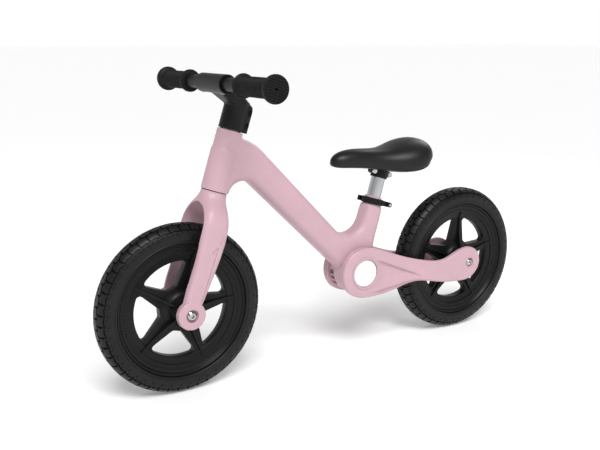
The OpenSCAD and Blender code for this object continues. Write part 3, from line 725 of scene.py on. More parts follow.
class BIKE_OT_frame(BikeOperator):
    """Casts the main frame: head tube, down tube, seat tube and hub drum in one skin"""

    bl_idname = "bike.frame_casting"
    bl_label = "Frame casting"

    def build(self):
        s = sizes()
        hub = (s.hub_x, s.hub_z)
        head, seat = self.along(s.foot_x, s.foot_z, s.head_angle), self.along(*hub, s.seat_angle)

        # Down tube: two edges that spread from the hub to the head tube
        meet = head(-8, s.head_top - 20)
        run = Vector(meet) - Vector(hub)
        middle = math.degrees(math.atan2(run.y, run.x))
        spread = math.degrees(math.asin(5 / run.length))
        up = Vector((-math.sin(math.radians(middle)), math.cos(math.radians(middle)))) * 23
        high, low = Vector(hub) + up, Vector(hub) - up
        back_edge, front_edge = 180 - s.head_angle, 180 - s.seat_angle
        outline = [
            (low, 0),
            (crossing(low, middle - spread, head(-22, 0), back_edge), s.throat_radius),
            (head(-22, s.seam - 8), 0),
            (head(6, s.seam - 8), 0),
            (head(6, s.head_top - 3), 0),
            (head(-14, s.head_top - 7), 0),
            (
                crossing(high, middle + spread, head(0, s.head_top - 7), back_edge + 90),
                s.shoulder_radius,
            ),
            (crossing(high, middle + spread, seat(18.3, 0), front_edge), s.valley_radius),
            (seat(18.3, 112), 0),
            (seat(17.0, 127), 0),
            (seat(-17.0, 127), 0),
            (seat(-18.3, 112), 0),
            (seat(-18.6, 62), 150),
            (seat(-27, 4), 0),
            (seat(-14, -12), 0),
        ]
        body = slab(
            "frame_casting", filleted(outline), -s.tube_half, s.tube_half, s.tube_round, 6
        )

        def tube(name, radius, line, start, end, sides=96):
            return rod(name, radius, self.flat(line(0, start)), self.flat(line(0, end)), sides)

        joined(
            body,
            tube("head_tube", 21.9, head, s.seam - 8, s.head_top + 8),
            tube("head_sleeve", 23.4, head, s.seam - 8, s.seam + 69),
            tube("seat_tube", 18.3, seat, 0, 127),
            tube("neck", 16.2, seat, 90, 152),
            rod("drum", 42.5, (hub[0], -24, hub[1]), (hub[0], 24, hub[1]), 96),
        )
        cast(body, 1.6, 7)

        # Crisp work after the casting: faced ends, flanges, bores and slots
        cuts = [
            tube("low_face", 70, head, s.seam, s.seam - 40, 48),
            tube("top_face", 70, head, s.head_top, s.head_top + 40, 48),
            tube("neck_face", 40, seat, 143, 190, 48),
        ]
        for cutter in cuts:
            combined(body, cutter, "DIFFERENCE")
        rim = [(30, 21.6), (46.4, 21.6), (47.2, 22.4), (47.2, 25.2), (46.4, 26), (30, 26)]
        for side in (-1, 1):
            flange = spun("flange", rim, 96)
            moved(flange, Matrix.Rotation(math.radians(-90 * side), 4, "X"))
            combined(body, moved(flange, Matrix.Translation((hub[0], 0, hub[1]))), "UNION")
        bore = [
            tube("head_bore", 16, head, s.seam - 20, s.head_top + 20),
            tube("low_bearing_seat", 18.03, head, s.seam - 1, s.seam + 10),
            tube("top_bearing_seat", 18.03, head, s.head_top - 9.6, s.head_top + 2),
            tube("post_bore", 13.65, seat, 24, 160),
            rod("hub_bore", 5.1, (hub[0], -60, hub[1]), (hub[0], 60, hub[1]), 48),
        ]
        for cutter in bore:
            combined(body, cutter, "DIFFERENCE")
        for turn in (2, 18, 34):
            slot = block("slot", (36, -20.5, -4.6), (52, -7.0, 4.6))
            moved(slot, Matrix.Rotation(math.radians(turn), 4, "Y"))
            moved(slot, Matrix.Translation((hub[0], 0, hub[1])))
            combined(body, slot, "DIFFERENCE")
        settled(body, row(), "frame", finish("frame_paint"), ["frame_shell"], 38)

    @staticmethod
    def along(x0, z0, angle):
        """A tube's own forward and upward measures, as row X and Z."""
        t = math.radians(angle - 90)

        def point(forward, height):
            return (
                x0 + forward * math.cos(t) + height * math.sin(t),
                z0 - forward * math.sin(t) + height * math.cos(t),
            )

        return point

    @staticmethod
    def flat(point):
        return point[0], 0, point[1]


STAY_OUTLINE = [
    (-54, 205), (-70, 203), (-88, 198), (-117, 187), (-153, 174), (-188, 164.5), (-214, 159.5),
    (-232, 159), (-248, 162.5), (-265, 169.5), (-282, 175), (-300, 177), (-318, 171), (-329, 157),
    (-331, 142), (-326, 128), (-314, 116), (-298, 110), (-277, 109.5), (-240, 113), (-213, 118),
    (-190, 122.5), (-171, 123), (-150, 119.5), (-128, 113.5), (-98, 108.5), (-72, 108), (-54, 109),
    (-36, 112.5), (-21, 121.5), (-10.5, 136), (-6, 152), (-7.5, 170), (-16, 187.5), (-32, 200),
]
LEAF_TOP = [(-70, 183), (-102, 170), (-134, 156), (-166, 142), (-190, 130), (-206, 119)]
LEAF_LOW = [(-49, 121), (-68, 120.5), (-84, 121.5), (-119, 125.5), (-151, 129.5), (-178, 131)]
LEAF_LOW.append((-200, 124))


LIP = [(25, 30), (30.4, 30), (30.4, 38.2), (29.8, 39.0), (28.4, 39.3), (27.0, 38.8), (26.5, 37.4)]
LIP += [(26.4, 34), (25, 34)]


class BIKE_OT_stays(BikeOperator):
    """Casts the two rear stays with their sweeping ridges and caps' seats"""

    bl_idname = "bike.rear_stays"
    bl_label = "Rear stays"

    def build(self):
        s = sizes()
        stay = slab("left_stay_casting", curve_through(STAY_OUTLINE, 4), 0, 11, 3.6, 4)
        cast(stay, 1.2, 4)
        reshaped(stay, self.relief)
        applied(stay, "SMOOTH", factor=0.5, iterations=1)

        def across(name, x, z, radius, y0, y1):
            return rod(name, radius, (x, y0, z), (x, y1, z), 72)

        hub, axle = (s.hub_x, s.hub_z), (-s.axle_x, s.wheel_r)
        lip = spun("lip", LIP, 96)
        moved(lip, Matrix.Rotation(math.radians(-90), 4, "X"))
        moved(lip, Matrix.Translation((hub[0], 0, hub[1])))
        combined(stay, lip, "UNION")
        cuts = [
            across("hub_hole", *hub, 5.1, 0, 80),
            across("cap_seat", *hub, 26.3, 33.3, 80),
            across("head_seat", *hub, 10, 29.3, 80),
            across("axle_hole", *axle, 3.05, 0, 80),
            across("bolt_seat", *axle, 9.5, 47, 80),
            block("notch", (-322, 30, 108), (-316, 60, 118.5)),
        ]
        for cutter in cuts:
            combined(stay, cutter, "DIFFERENCE")
        moved(stay, row())
        twin = copy_of(stay, "right_stay_casting", Matrix.Scale(-1, 4, (0, 1, 0)))
        outwards(twin, 0.0000005)
        for obj, node in ((stay, "left_stay"), (twin, "right_stay")):
            settled(obj, Matrix(), "frame", finish("frame_paint"), [node], 38)

    def relief(self, x, y, z):
        """Bows the flat plate out to the dropout and raises its ridges."""
        s = sizes()
        disc = np.hypot(x - s.hub_x, z - s.hub_z)
        out = ramp(-x, 105, 262)
        base = 26.4 + out * 12.9
        thick = y / 11.0
        outer = ramp(y, 5.0, 9.5)

        top = np.interp(-x, [-p[0] for p in LEAF_TOP], [p[1] for p in LEAF_TOP])
        low = np.interp(-x, [-p[0] for p in LEAF_LOW], [p[1] for p in LEAF_LOW])
        fade = ramp(-x, 76, 96) * (1 - ramp(-x, 180, 206))
        leaf = ramp(top - z, -0.6, 1.4) * (0.3 + 0.7 * ramp(z - low, 0.0, 18.0))
        leaf *= ramp(z - low, -0.5, 2.5) * fade
        bead = np.exp(-(((z - low) / 2.6) ** 2)) * ramp(-x, 58, 92) * (1 - ramp(-x, 176, 208))
        below = ramp(low - 4.0 - z, -0.8, 1.8) * ramp(-x, 62, 96) * (1 - ramp(-x, 160, 200))
        crown = ramp(z - top, 1.0, 22.0) * ramp(-x, 84, 120) * (1 - ramp(-x, 215, 262))
        rim = ramp(disc, 38, 46) * (1 - ramp(-x, 60, 84))
        height = -4.4 * leaf + 1.7 * bead - 3.6 * below - 1.6 * crown - 1.2 * rim
        return x, base + thick * 11.0 + outer * height, z


class BIKE_OT_caps(BikeOperator):
    """Turns the two plain white caps of the frame's hub"""

    bl_idname = "bike.hub_caps"
    bl_label = "Hub caps"

    def build(self):
        s = sizes()
        profile = [(0, 33.4), (25.2, 33.4), (25.6, 34.0), (25.7, 35.4), (25.2, 36.3), (24, 36.75)]
        profile += [(18, 36.95), (9, 37.1), (0, 37.15)]
        for side, name in ((1, "left"), (-1, "right")):
            cap = spun(f"{name}_cap_moulding", profile, 96)
            moved(cap, Matrix.Rotation(math.radians(-90 * side), 4, "X"))
            moved(cap, Matrix.Translation((s.hub_x, 0, s.hub_z)))
            settled(cap, row(), "frame", finish("white_cap"), [f"{name}_hub_cap"], 40)


FORK = [
    # height, front, rear, half-width, squareness
    (212, 21.9, -21.9, 21.9, 2.0),
    (199, 22.0, -22.0, 22.0, 2.0),
    (193, 22.6, -22.2, 24.6, 2.1),
    (187, 23.6, -22.6, 29.6, 2.25),
    (180, 24.8, -23.2, 37.0, 2.5),
    (172, 25.8, -24.0, 43.4, 2.9),
    (163, 26.6, -24.6, 47.6, 3.5),
    (153, 26.9, -24.9, 49.9, 4.2),
    (140, 26.6, -24.9, 51.0, 5.0),
    (122, 25.2, -23.8, 51.6, 5.8),
    (100, 23.6, -21.6, 51.9, 6.2),
    (80, 23.2, -19.0, 52.0, 6.2),
    (58, 23.8, -16.0, 52.1, 6.2),
    (34, 24.6, -12.6, 52.1, 6.2),
    (12, 24.4, -10.2, 52.0, 5.0),
    (-4, 18.0, -6.0, 51.6, 4.0),
    (-12, 12.0, -1.0, 51.0, 3.0),
]


class BIKE_OT_fork(BikeOperator):
    """Casts the fork: round crown, arch over the tyre, two flat legs and dropouts"""

    bl_idname = "bike.fork_casting"
    bl_label = "Fork casting"

    def build(self):
        s = sizes()
        rings = []
        for height, front, rear, half, squareness in FORK:
            middle, reach = (front + rear) / 2, (front - rear) / 2
            rings.append([(middle + x, y, height) for x, y in oval(reach, half, squareness, 88)])
        fork = loft("fork_casting", rings)

        # The arch's outline lies in Y and height, so it is turned about Z
        arch_r, spring = s.arch_half, s.arch_top - s.arch_half
        arch = [(39.2, -60), (39.2, 16), (arch_r, 84)]
        arch += [
            (arch_r * math.cos(t), spring + arch_r * math.sin(t))
            for t in np.linspace(0, math.pi, 41)
        ]
        arch += [(-arch_r, 84), (-39.2, 16), (-39.2, -60)]
        tunnel = moved(slab("arch", arch, -70, 70), Matrix.Rotation(math.radians(90), 4, "Z"))
        combined(fork, tunnel, "DIFFERENCE")
        cast(fork, 1.3, 6)
        combined(fork, block("seam_face", (-60, -60, s.seam - 1.6), (60, 60, 260)), "DIFFERENCE")
        for side in (-1, 1):
            self.dropout(fork, side)
            self.lines(fork, side)
        combined(fork, rod("steerer_bore", 12.75, (0, 0, 186), (0, 0, 240), 72), "DIFFERENCE")
        settled(fork, steering(), "front_end", finish("frame_paint"), ["fork"], 38)

    def dropout(self, fork, side):
        """Turned boss with a rounded rim, a bolt recess and the axle's hole."""
        disc = [(0, 39), (22.2, 39), (23.4, 39.5), (23.9, 40.6), (23.9, 50.4), (23.6, 51.5)]
        disc += [(22.8, 52.3), (21.6, 52.6), (0, 52.6)]
        boss = moved(spun("boss", disc, 96), Matrix.Rotation(math.radians(-90 * side), 4, "X"))
        combined(fork, moved(boss, Matrix.Translation((6, 0, 0))), "UNION")
        for name, radius, inner in (("seat", 11, 48), ("hole", 3.05, 20)):
            y = sorted((side * inner, side * 70))
            combined(fork, rod(name, radius, (6, y[0], 0), (6, y[1], 0), 72), "DIFFERENCE")

    def lines(self, fork, side):
        """Thin parting lines down the leg's outer face."""
        strokes = [((-8, 118), (-3.4, 26)), ((-8, 118), (0.5, 106)), ((-13.5, 138), (-8.8, 122))]
        for (x0, z0), (x1, z1) in strokes:
            y = sorted((side * 50.4, side * 60))
            run = Vector((x1 - x0, 0, z1 - z0))
            groove = block("groove", (-0.35, y[0], 0), (0.35, y[1], run.length))
            moved(groove, Matrix.Rotation(math.atan2(run.x, run.z), 4, "Y"))
            combined(fork, moved(groove, Matrix.Translation((x0, 0, z0))), "DIFFERENCE")


# The stem's two pinch bolts: how far behind the steering axis, and how high along it
PINCH_X = -19.3
PINCH_HEIGHTS = (320, 342)


class BIKE_OT_stem(BikeOperator):
    """Casts the stem: round column, clamp lobe behind it, neck and handlebar sleeve"""

    bl_idname = "bike.stem_casting"
    bl_label = "Stem casting"

    def build(self):
        s = sizes()
        reach, bar = s.bar_reach, s.bar_height
        column = rod("stem_casting", 21, (0, 0, 300), (0, 0, 356), 96)
        lobe_side = [(-4, 300), (-4, 356), (-17, 356), (-22.5, 354.4), (-25.4, 350), (-26, 343)]
        lobe = slab("lobe", [*lobe_side, (-26, 300)], -17.5, 17.5, 9, 5)
        neck = wrapped(
            joined(
                rod("neck_low", 19.5, (-2, 0, 346), (-2, 0, 357), 48),
                rod("neck_high", 12.5, (reach - 5, -22, bar), (reach - 5, 22, bar), 48),
            )
        )
        sleeve = rod("sleeve", 15.6, (reach, -52, bar), (reach, 52, bar), 96)
        stem = joined(column, lobe, neck, sleeve)
        cast(stem, 1.25, 7)
        cuts = [
            block("foot", (-60, -60, 290), (60, 60, 308)),
            block("end_left", (-10, 45, bar - 40), (100, 60, bar + 40)),
            block("end_right", (-10, -60, bar - 40), (100, -45, bar + 40)),
            rod("bar_bore", 11.14, (reach, -60, bar), (reach, 60, bar), 72),
            rod("steerer_bore", 12.72, (0, 0, 300), (0, 0, 351), 72),
            block("slit", (-30, -1, 290), (-6, 1, 350)),
        ]
        for side in (-1, 1):
            y = sorted((side * 43.4, side * 60))
            cuts.append(rod("mouth", 13.2, (reach, y[0], bar), (reach, y[1], bar), 72))
            for h in PINCH_HEIGHTS:
                y = sorted((side * 10, side * 30))
                cuts.append(rod("pinch_seat", 5, (PINCH_X, y[0], h), (PINCH_X, y[1], h), 32))
        for h in PINCH_HEIGHTS:
            cuts.append(rod("pinch_hole", 2.52, (PINCH_X, -30, h), (PINCH_X, 30, h), 32))
        for cutter in cuts:
            combined(stem, cutter, "DIFFERENCE")
        applied(
            stem, "BEVEL", width=0.7, segments=2, limit_method="ANGLE",
            angle_limit=math.radians(60),
        )
        settled(stem, steering(), "front_end", finish("black_metal"), ["stem"], 38)


class BIKE_OT_grips(BikeOperator):
    """Turns the ribbed grips with a flange and a grooved, serrated mushroom end"""

    bl_idname = "bike.grips"
    bl_label = "Grips"

    def build(self):
        s = sizes()
        profile = [(11.12, 0), (17.6, 0), (18.8, 0.6), (19.3, 1.8), (19.2, 3.0), (18.3, 4.1)]
        profile += [(16.4, 4.9), (13.2, 5.4)]
        ribs, first, pitch = 13, 6.6, 6.2
        rib = [(12.0, 0.0), (14.2, 0.6), (15.2, 1.5), (15.4, 2.3), (15.0, 3.2), (14.0, 3.9)]
        rib.append((12.0, 4.4))
        for k in range(ribs):
            profile += [(r, first + k * pitch + z) for r, z in rib]
        end = s.grip_length
        profile += [(13.4, end - 14.6), (14.2, end - 11.6), (16.2, end - 9.4), (19.0, end - 8.2)]
        profile += [(20.7, end - 7.2), (21.3, end - 5.8), (21.3, end - 2.2), (20.9, end - 1.0)]
        profile += [(19.9, end - 0.2), (18.6, end), (2, end), (2, end - 7), (11.12, end - 7)]
        grip = spun("grip", profile, 80)
        teeth = []
        count = 40
        for k in range(count):
            a = TAU * k / count
            x, y = 21.9 * math.cos(a), 21.9 * math.sin(a)
            teeth.append(rod("tooth", 1.2, (x, y, end - 7.5), (x, y, end + 2), 8))
        combined(grip, joined(*teeth), "DIFFERENCE")
        grooves = []
        for k in range(-4, 5):
            wide = math.sqrt(20.0**2 - (4.1 * k) ** 2)
            low, high = (4.1 * k - 0.95, -wide, end - 1.7), (4.1 * k + 0.95, wide, end + 2)
            grooves.append(block("groove", low, high))
        combined(grip, joined(*grooves), "DIFFERENCE")
        for side, name in ((1, "left"), (-1, "right")):
            piece = copy_of(grip, f"{name}_grip_rubber")
            moved(piece, Matrix.Rotation(math.radians(-90 * side), 4, "X"))
            # Grooves run level: the grip's X is turned up along the steering axis
            moved(piece, Matrix.Rotation(math.radians(90), 4, "Y"))
            moved(piece, Matrix.Translation((s.bar_reach, side * s.grip_start, s.bar_height)))
            settled(
                piece, steering(), "front_end", finish("grip_rubber"),
                [f"{name}_grip"], 38,
            )
        bpy.data.objects.remove(grip)


def on_axle(obj, x):
    """Turns a wheel piece made round Z onto its axle."""
    s = sizes()
    moved(obj, Matrix.Rotation(math.radians(-90), 4, "X"))
    return moved(obj, Matrix.Translation((x, 0, s.wheel_r)))


SPOKES = 5


class BIKE_OT_rims(BikeOperator):
    """Moulds the five-spoke rims with ribbed spokes, stepped band and serrated ring"""

    bl_idname = "bike.rims"
    bl_label = "Rims"

    def build(self):
        s = sizes()
        rim = self.band()
        combined(rim, self.web(), "UNION")
        combined(rim, self.hub(), "UNION")
        for k in range(SPOKES):
            edge = [(20, 24.0), (26, 21.5), (38, 17.0), (54, 13.6), (70, 11.8), (88, 11.4)]
            edge.append((95.5, 13.6))
            side = edge + [(r, -w) for r, w in reversed(edge)]
            fin = slab("fin", side, -1.6, 1.6)
            # Outline X is the radius and outline Z the wheel's width
            moved(fin, Matrix.Rotation(TAU * k / SPOKES, 4, "Z"))
            combined(rim, fin, "UNION")
        combined(rim, self.serrations(), "DIFFERENCE")
        combined(rim, rod("bore", 9, (0, 0, -60), (0, 0, 60), 64), "DIFFERENCE")
        for side in (-1, 1):
            z = sorted((side * 23, side * 60))
            combined(rim, rod("bearing_seat", 14.02, (0, 0, z[0]), (0, 0, z[1]), 72), "DIFFERENCE")
        applied(
            rim, "BEVEL", width=0.5, segments=2, limit_method="ANGLE",
            angle_limit=math.radians(55),
        )
        wheels = (("front", s.axle_x, s.front_turn), ("rear", -s.axle_x, s.rear_turn))
        for name, x, turn in wheels:
            spin = Matrix.Rotation(math.radians(-90 - turn), 4, "Z")
            piece = on_axle(copy_of(rim, f"{name}_rim_moulding", spin), x)
            settled(
                piece, row(), f"{name}_wheel", finish("matte_black"),
                [f"{name}_rim"], 35,
            )
        bpy.data.objects.remove(rim)

    def band(self):
        side = [(113.9, 17.4), (113.4, 18.5), (112.2, 19), (110.6, 18.8), (109.5, 17.8)]
        side += [(108.9, 16.2), (107.8, 15.2), (105.0, 14.9), (104.2, 14.2), (97.0, 13.2)]
        side += [(95.6, 12.4), (95.2, 10.8)]
        side += [(94.2, 10.0), (85.4, 9.4), (83.8, 8.6), (83.0, 7.2)]
        other = [(r, -h) for r, h in reversed(side)]
        return spun("rim", side + other, 144)

    def web(self):
        """A flat disc with five windows, each drawn as a rounded wedge."""
        disc = rod("web", 86, (0, 0, -7.5), (0, 0, 7.5), 144)
        for k in range(SPOKES):
            cutter = slab("window", self.window(), -20, 20)
            moved(cutter, Matrix.Rotation(math.radians(90), 4, "X"))
            moved(cutter, Matrix.Rotation(TAU * (k + 0.5) / SPOKES, 4, "Z"))
            combined(disc, cutter, "DIFFERENCE")
        return applied(
            disc, "BEVEL", width=2.2, segments=3, limit_method="ANGLE", angle_limit=math.radians(50)
        )

    @staticmethod
    def window():
        """A wedge whose sides leave a spoke that narrows towards the band."""
        outer, inner, corner, lean = 83.2, 39.0, 6.5, math.pi / SPOKES

        def beside(radius, half):
            """A point beside the spoke's middle line."""
            along = math.sqrt(radius**2 - half**2)
            return Vector((
                along * math.cos(lean) + half * math.sin(lean),
                along * math.sin(lean) - half * math.cos(lean),
            ))

        low, high = beside(inner, 16.0), beside(outer, 7.2)
        swing = math.atan2(high.y, high.x) - 0.15
        tangent = Vector((math.cos(swing), math.sin(swing)))
        side = high - low
        end = low + side * ((outer - low @ tangent) / (side @ tangent))
        half = [(low, corner), (end, corner)]
        flipped = [(Vector((p.x, -p.y)), r) for p, r in half]
        return filleted([*half, ((outer / math.cos(swing), 0), outer), *reversed(flipped)], 9)

    def hub(self):
        side = [(23, 31), (23, 19), (23.6, 15.4), (25.4, 12.2), (28.4, 9.6), (32.5, 8.0), (38, 7.4)]
        other = [(r, -h) for r, h in reversed(side)]
        return spun("hub", [(4, 30.2)] + side + other + [(4, -30.2)], 96)

    def serrations(self):
        teeth, count = [], 120
        for face in (1, -1):
            for k in range(count):
                tooth = block("tooth", (98.0, -0.9, 13.05), (103.6, 0.9, 16))
                if face < 0:
                    moved(tooth, Matrix.Rotation(math.pi, 4, "X"))
                teeth.append(moved(tooth, Matrix.Rotation(TAU * k / count, 4, "Z")))
        return joined(*teeth)


class BIKE_OT_tyres(BikeOperator):
    """Moulds the foam tyres: wavy shoulder blocks, centre blocks and marked side walls"""

    bl_idname = "bike.tyres"
    bl_label = "Tyres"

    def build(self):
        s = sizes()
        tyre = self.tread()
        for name, x in (("front", s.axle_x), ("rear", -s.axle_x)):
            piece = on_axle(copy_of(tyre, f"{name}_tyre_foam"), x)
            settled(
                piece, row(), f"{name}_wheel", finish("foam_tyre"),
                [f"{name}_tyre"], 32,
            )
        bpy.data.objects.remove(tyre)

    def tread(self):
        """A grid warped so that its lines follow the edges of the grooves."""
        s = sizes()
        across = [0, 1.3, 2.6, 4.0, 5.6, 7.0, 7.9, 8.3, 9.6, 10.0, 11.4, 13.2, 15.2, 17.2, 19.0]
        across += [20.6, 21.8, 22.3, 23.6, 24.1, 25.6, 27.2, 28.2, 28.7, 31.2, 31.7, 33.2]
        across += [35.0, 37.2, 39.0]
        groove_rows = {7: 1.0, 8: 1.0, 17: 0.8, 18: 0.8}
        columns = [0.056, 0.088, 0.16, 0.215, 0.235, 0.30, 0.35, 0.37, 0.418, 0.446, 0.554, 0.582]
        columns += [0.66, 0.75, 0.84, 0.912, 0.944]
        per = len(columns)
        seam, middle = (0, per - 1), (9, 10)
        pitches = s.tread_pitches
        total = per * pitches
        radius, half, flat = s.wheel_r, 23.0, 3.2
        shoulder = half - flat

        def offset(sign):
            """The right half's blocks sit half a pitch behind the left's."""
            return 0.5 if sign < 0 else 0.0

        def on_profile(a):
            """Radius, width and outward direction at a distance from the middle."""
            bend = shoulder * math.pi / 2
            if a <= flat:
                return radius, a, 1.0, 0.0
            if a <= flat + bend:
                t = (a - flat) / shoulder
                return (
                    radius - shoulder + shoulder * math.cos(t), flat + shoulder * math.sin(t),
                    math.cos(t), math.sin(t),
                )
            return radius - shoulder - (a - flat - bend), half, 0.0, 1.0

        verts, rows = [], []
        order = [(-1, k) for k in range(len(across) - 1, 0, -1)]
        order += [(1, k) for k in range(len(across))]
        for sign, k in order:
            ring = []
            a = across[k]
            wave = 0.17 * math.sin((a - 9) / 15 * math.pi) if 9 < a < 24 else 0.0
            wave += 0.05 * math.sin(a / 9 * math.pi) if a <= 9 else 0.0
            half_turn = offset(sign)
            for i in range(total):
                p, c = divmod(i, per)
                u = columns[c]
                zig = 1.5 * math.sin(TAU * u) * math.exp(-(((a - 9) / 6) ** 2))
                zig += 0.9 * math.sin(TAU * u + 1.2) * math.exp(-(((a - 23) / 5) ** 2))
                if k == 0:
                    zig = 0.0
                r, y, nr, ny = on_profile(a + zig)
                cut = groove_rows.get(k, 0.0)
                if k <= 6 and c in middle:  # between the centre blocks
                    cut = 1.0
                if 9 <= k <= 16 and c in seam:  # between the shoulder blocks
                    cut = 1.0
                if 19 <= k <= 21 and c in (*seam, *middle):  # short sipes below them
                    cut = 0.3
                if k in (23, 24) and 4 <= c <= 6:  # raised marks on the side wall
                    cut = -0.4
                r -= nr * cut * s.tread_depth
                y -= ny * cut * s.tread_depth
                theta = TAU * (p + u + wave + half_turn) / pitches
                ring.append((r * math.cos(theta), r * math.sin(theta), sign * y))
            rows.append(ring)
        bead = [(119.4, 22.9), (118.9, 22.2), (118.3, 22.1), (117.7, 22.6), (116.2, 22.5)]
        bead += [(114.9, 21.6), (114.0, 19.6)]

        def plain(sign, r, y):
            ring = []
            for i in range(total):
                t = TAU * (i // per + columns[i % per] + offset(sign)) / pitches
                ring.append((r * math.cos(t), r * math.sin(t), sign * y))
            return ring

        rows = [plain(-1, r, y) for r, y in reversed(bead)] + rows
        rows += [plain(1, r, y) for r, y in bead]
        for ring in rows:
            verts += ring
        faces = []
        count = len(rows)
        for k in range(count):
            nxt = (k + 1) % count
            for i in range(total):
                j = (i + 1) % total
                faces.append((k * total + i, k * total + j, nxt * total + j, nxt * total + i))
        mesh = bpy.data.meshes.new("tyre")
        mesh.from_pydata(verts, [], faces)
        obj = bpy.data.objects.new("tyre", mesh)
        bpy.context.scene.collection.objects.link(obj)
        return outwards(obj, 0.0001)


SADDLE = [
    # x, half-width, top, bottom
    (1.5, 3.0, 367.5, 361.5),
    (-1.5, 8.5, 373.0, 357.5),
    (-8, 14.5, 378.5, 355.0),
    (-20, 19.5, 383.5, 353.5),
    (-38, 23.0, 386.3, 352.5),
    (-60, 26.0, 386.2, 350.5),
    (-82, 30.0, 384.6, 347.5),
    (-102, 37.0, 384.4, 343.5),
    (-120, 46.0, 386.4, 340.0),
    (-137, 54.5, 390.6, 338.0),
    (-154, 60.0, 395.4, 337.5),
    (-170, 62.0, 398.6, 338.5),
    (-184, 59.5, 399.6, 342.0),
    (-195, 52.0, 397.6, 348.0),
    (-203, 40.0, 392.0, 356.0),
    (-207.5, 25.0, 384.5, 364.0),
    (-209, 8.0, 378.0, 370.5),
]


class BIKE_OT_saddle(BikeOperator):
    """Moulds the saddle: narrow nose, waist, broad raised tail and deep side skirts"""

    bl_idname = "bike.saddle"
    bl_label = "Saddle"

    def build(self):
        rings = []
        for x, half, top, bottom in SADDLE:
            middle = bottom + 0.36 * (top - bottom)
            ring = []
            for a in np.linspace(0, TAU, 40, endpoint=False):
                c, s = math.cos(a), math.sin(a)
                power = 2 / 2.25 if s >= 0 else 2 / 3.0
                y = half * math.copysign(abs(c) ** power, c)
                rise = (top - middle) if s >= 0 else (middle - bottom)
                z = middle + rise * math.copysign(abs(s) ** power, s)
                lag = 5.0 * ramp(-x, 120, 200) * (1 - abs(s)) if s < 0 else 0.0
                ring.append((x + float(lag), y, z))
            rings.append(ring)
        pad = loft("saddle_foam", rings)
        applied(pad, "SUBSURF", levels=2, render_levels=2)
        well = block("well", (-172, -13, 330), (-62, 13, 366))
        applied(well, "BEVEL", width=4, segments=3)
        combined(pad, well, "DIFFERENCE")
        settled(pad, row(), "saddle", finish("saddle_skin"), ["saddle_pad"], 50)


class BIKE_OT_finishes(BikeOperator):
    """Gives every piece kept from the frame its finish"""

    bl_idname = "bike.finishes"
    bl_label = "Finishes"

    def build(self):
        slots = {r["node"]: r["material_slot"] for r in frame["record"]["subparts"]}
        for name, obj in frame["nodes"].items():
            obj.data.materials.clear()
            obj.data.materials.append(finish(slots[name]))
            for polygon in obj.data.polygons:
                polygon.material_index = 0


CAMERA_PLACE = (0.7868, 1.1655, 0.5788)
CAMERA_LENS = 47.13
CAMERA_ANGLES = (148.3, 13.2)  # azimuth and height above the horizon, in degrees
FLOOR_SIZE = 160
FLOOR_GLOW = 0.14
SUNLIGHT = (-0.24, -0.52, -0.82)  # the way the light travels
# Height of the sky direction where white starts to fall, where it ends, and both strengths
SKY = (0.06, 0.5, 1.0, 0.26)


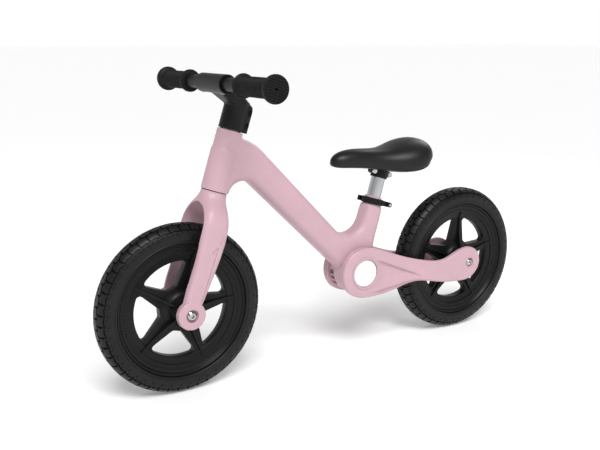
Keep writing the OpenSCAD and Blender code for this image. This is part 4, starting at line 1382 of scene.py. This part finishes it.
class BIKE_OT_stage(BikeOperator):
    """Sets the pale floor, the soft lights and the camera"""

    bl_idname = "bike.stage"
    bl_label = "Stage"

    def build(self):
        nothing_selected()
        bpy.ops.mesh.primitive_plane_add(size=FLOOR_SIZE)
        floor = named("floor")
        f = Finish("pale_floor")
        cloud = f.noise(3.0, 2.0)
        white = f.blend(cloud, (0.93, 0.93, 0.93, 1), (0.95, 0.95, 0.95, 1))
        f.set(Base_Color=white, Roughness=0.9)
        f.set(Emission_Color=(1, 1, 1, 1), Emission_Strength=FLOOR_GLOW)
        floor.data.materials.append(f.material)

        world = bpy.data.worlds.new("studio")
        world.use_nodes = True
        self.sky(world.node_tree)
        bpy.context.scene.world = world
        bpy.context.scene.view_settings.view_transform = "Standard"

        nothing_selected()
        bpy.ops.object.light_add(type="SUN")
        sun = bpy.context.object
        sun.name = "window_light"
        sun.data.energy, sun.data.angle = 2.2, math.radians(28)
        sun.rotation_mode = "QUATERNION"
        sun.rotation_quaternion = Vector(SUNLIGHT).to_track_quat("-Z", "Y")
        lamps = [
            # name, place, aim, size, watts
            ("key_softbox", (0.3, 1.9, 1.9), (0.0, 0, 0.25), 0.7, 12),
            ("rim_softbox", (-1.6, -0.9, 1.5), (0, 0, 0.3), 0.8, 7),
        ]
        for name, place, aim, size, watts in lamps:
            bpy.ops.object.light_add(type="AREA", location=place)
            lamp = bpy.context.object
            lamp.name = name
            lamp.data.energy, lamp.data.size = watts, size
            way = Vector(aim) - Vector(place)
            lamp.rotation_mode = "QUATERNION"
            lamp.rotation_quaternion = way.to_track_quat("-Z", "Y")

        bpy.ops.object.camera_add(location=CAMERA_PLACE)
        camera = bpy.context.object
        camera.data.lens, camera.data.sensor_width = CAMERA_LENS, 36.0
        a, e = (math.radians(angle) for angle in CAMERA_ANGLES)
        back = Vector((math.sin(a) * math.cos(e), -math.cos(a) * math.cos(e), math.sin(e)))
        camera.rotation_mode = "QUATERNION"
        camera.rotation_quaternion = (-back).to_track_quat("-Z", "Y")
        bpy.context.scene.camera = camera

    @staticmethod
    def sky(tree):
        """White low down, and dimmer overhead, so that metal has something to show."""
        place = tree.nodes.new("ShaderNodeTexCoord")
        split = tree.nodes.new("ShaderNodeSeparateXYZ")
        fall = tree.nodes.new("ShaderNodeMapRange")
        for socket, value in zip(fall.inputs[1:5], SKY):
            socket.default_value = value
        tree.links.new(place.outputs["Generated"], split.inputs[0])
        tree.links.new(split.outputs[2], fall.inputs[0])
        tree.links.new(fall.outputs[0], tree.nodes["Background"].inputs[1])
        tree.nodes["Background"].inputs[0].default_value = (1, 1, 1, 1)


OPERATORS = [
    BIKE_OT_stage, BIKE_OT_finishes, BIKE_OT_frame, BIKE_OT_stays, BIKE_OT_caps, BIKE_OT_fork,
    BIKE_OT_stem, BIKE_OT_grips, BIKE_OT_rims, BIKE_OT_tyres, BIKE_OT_saddle,
]


class BIKE_PT_panel(bpy.types.Panel):
    """Lists the builders and their sizes and colours."""

    bl_idname = "BIKE_PT_panel"
    bl_label = "Balance bike"
    bl_space_type = "VIEW_3D"
    bl_region_type = "UI"
    bl_category = "Bike"

    def draw(self, context):
        for kind in OPERATORS:
            self.layout.operator(kind.bl_idname)
        for group in (context.scene.bike_sizes, context.scene.bike_colours):
            for key in group.__annotations__:
                self.layout.prop(group, key)


CLASSES = [BikeSizes, BikeColours, *OPERATORS, BIKE_PT_panel]


def register():
    for kind in CLASSES:
        bpy.utils.register_class(kind)
    bpy.types.Scene.bike_sizes = bpy.props.PointerProperty(type=BikeSizes)
    bpy.types.Scene.bike_colours = bpy.props.PointerProperty(type=BikeColours)


def unregister():
    del bpy.types.Scene.bike_colours, bpy.types.Scene.bike_sizes
    for kind in reversed(CLASSES):
        bpy.utils.unregister_class(kind)


def main():
    register()
    for kind in OPERATORS:
        group, call = kind.bl_idname.split(".")
        getattr(getattr(bpy.ops, group), call)()


if __name__ == "__main__":
    main()
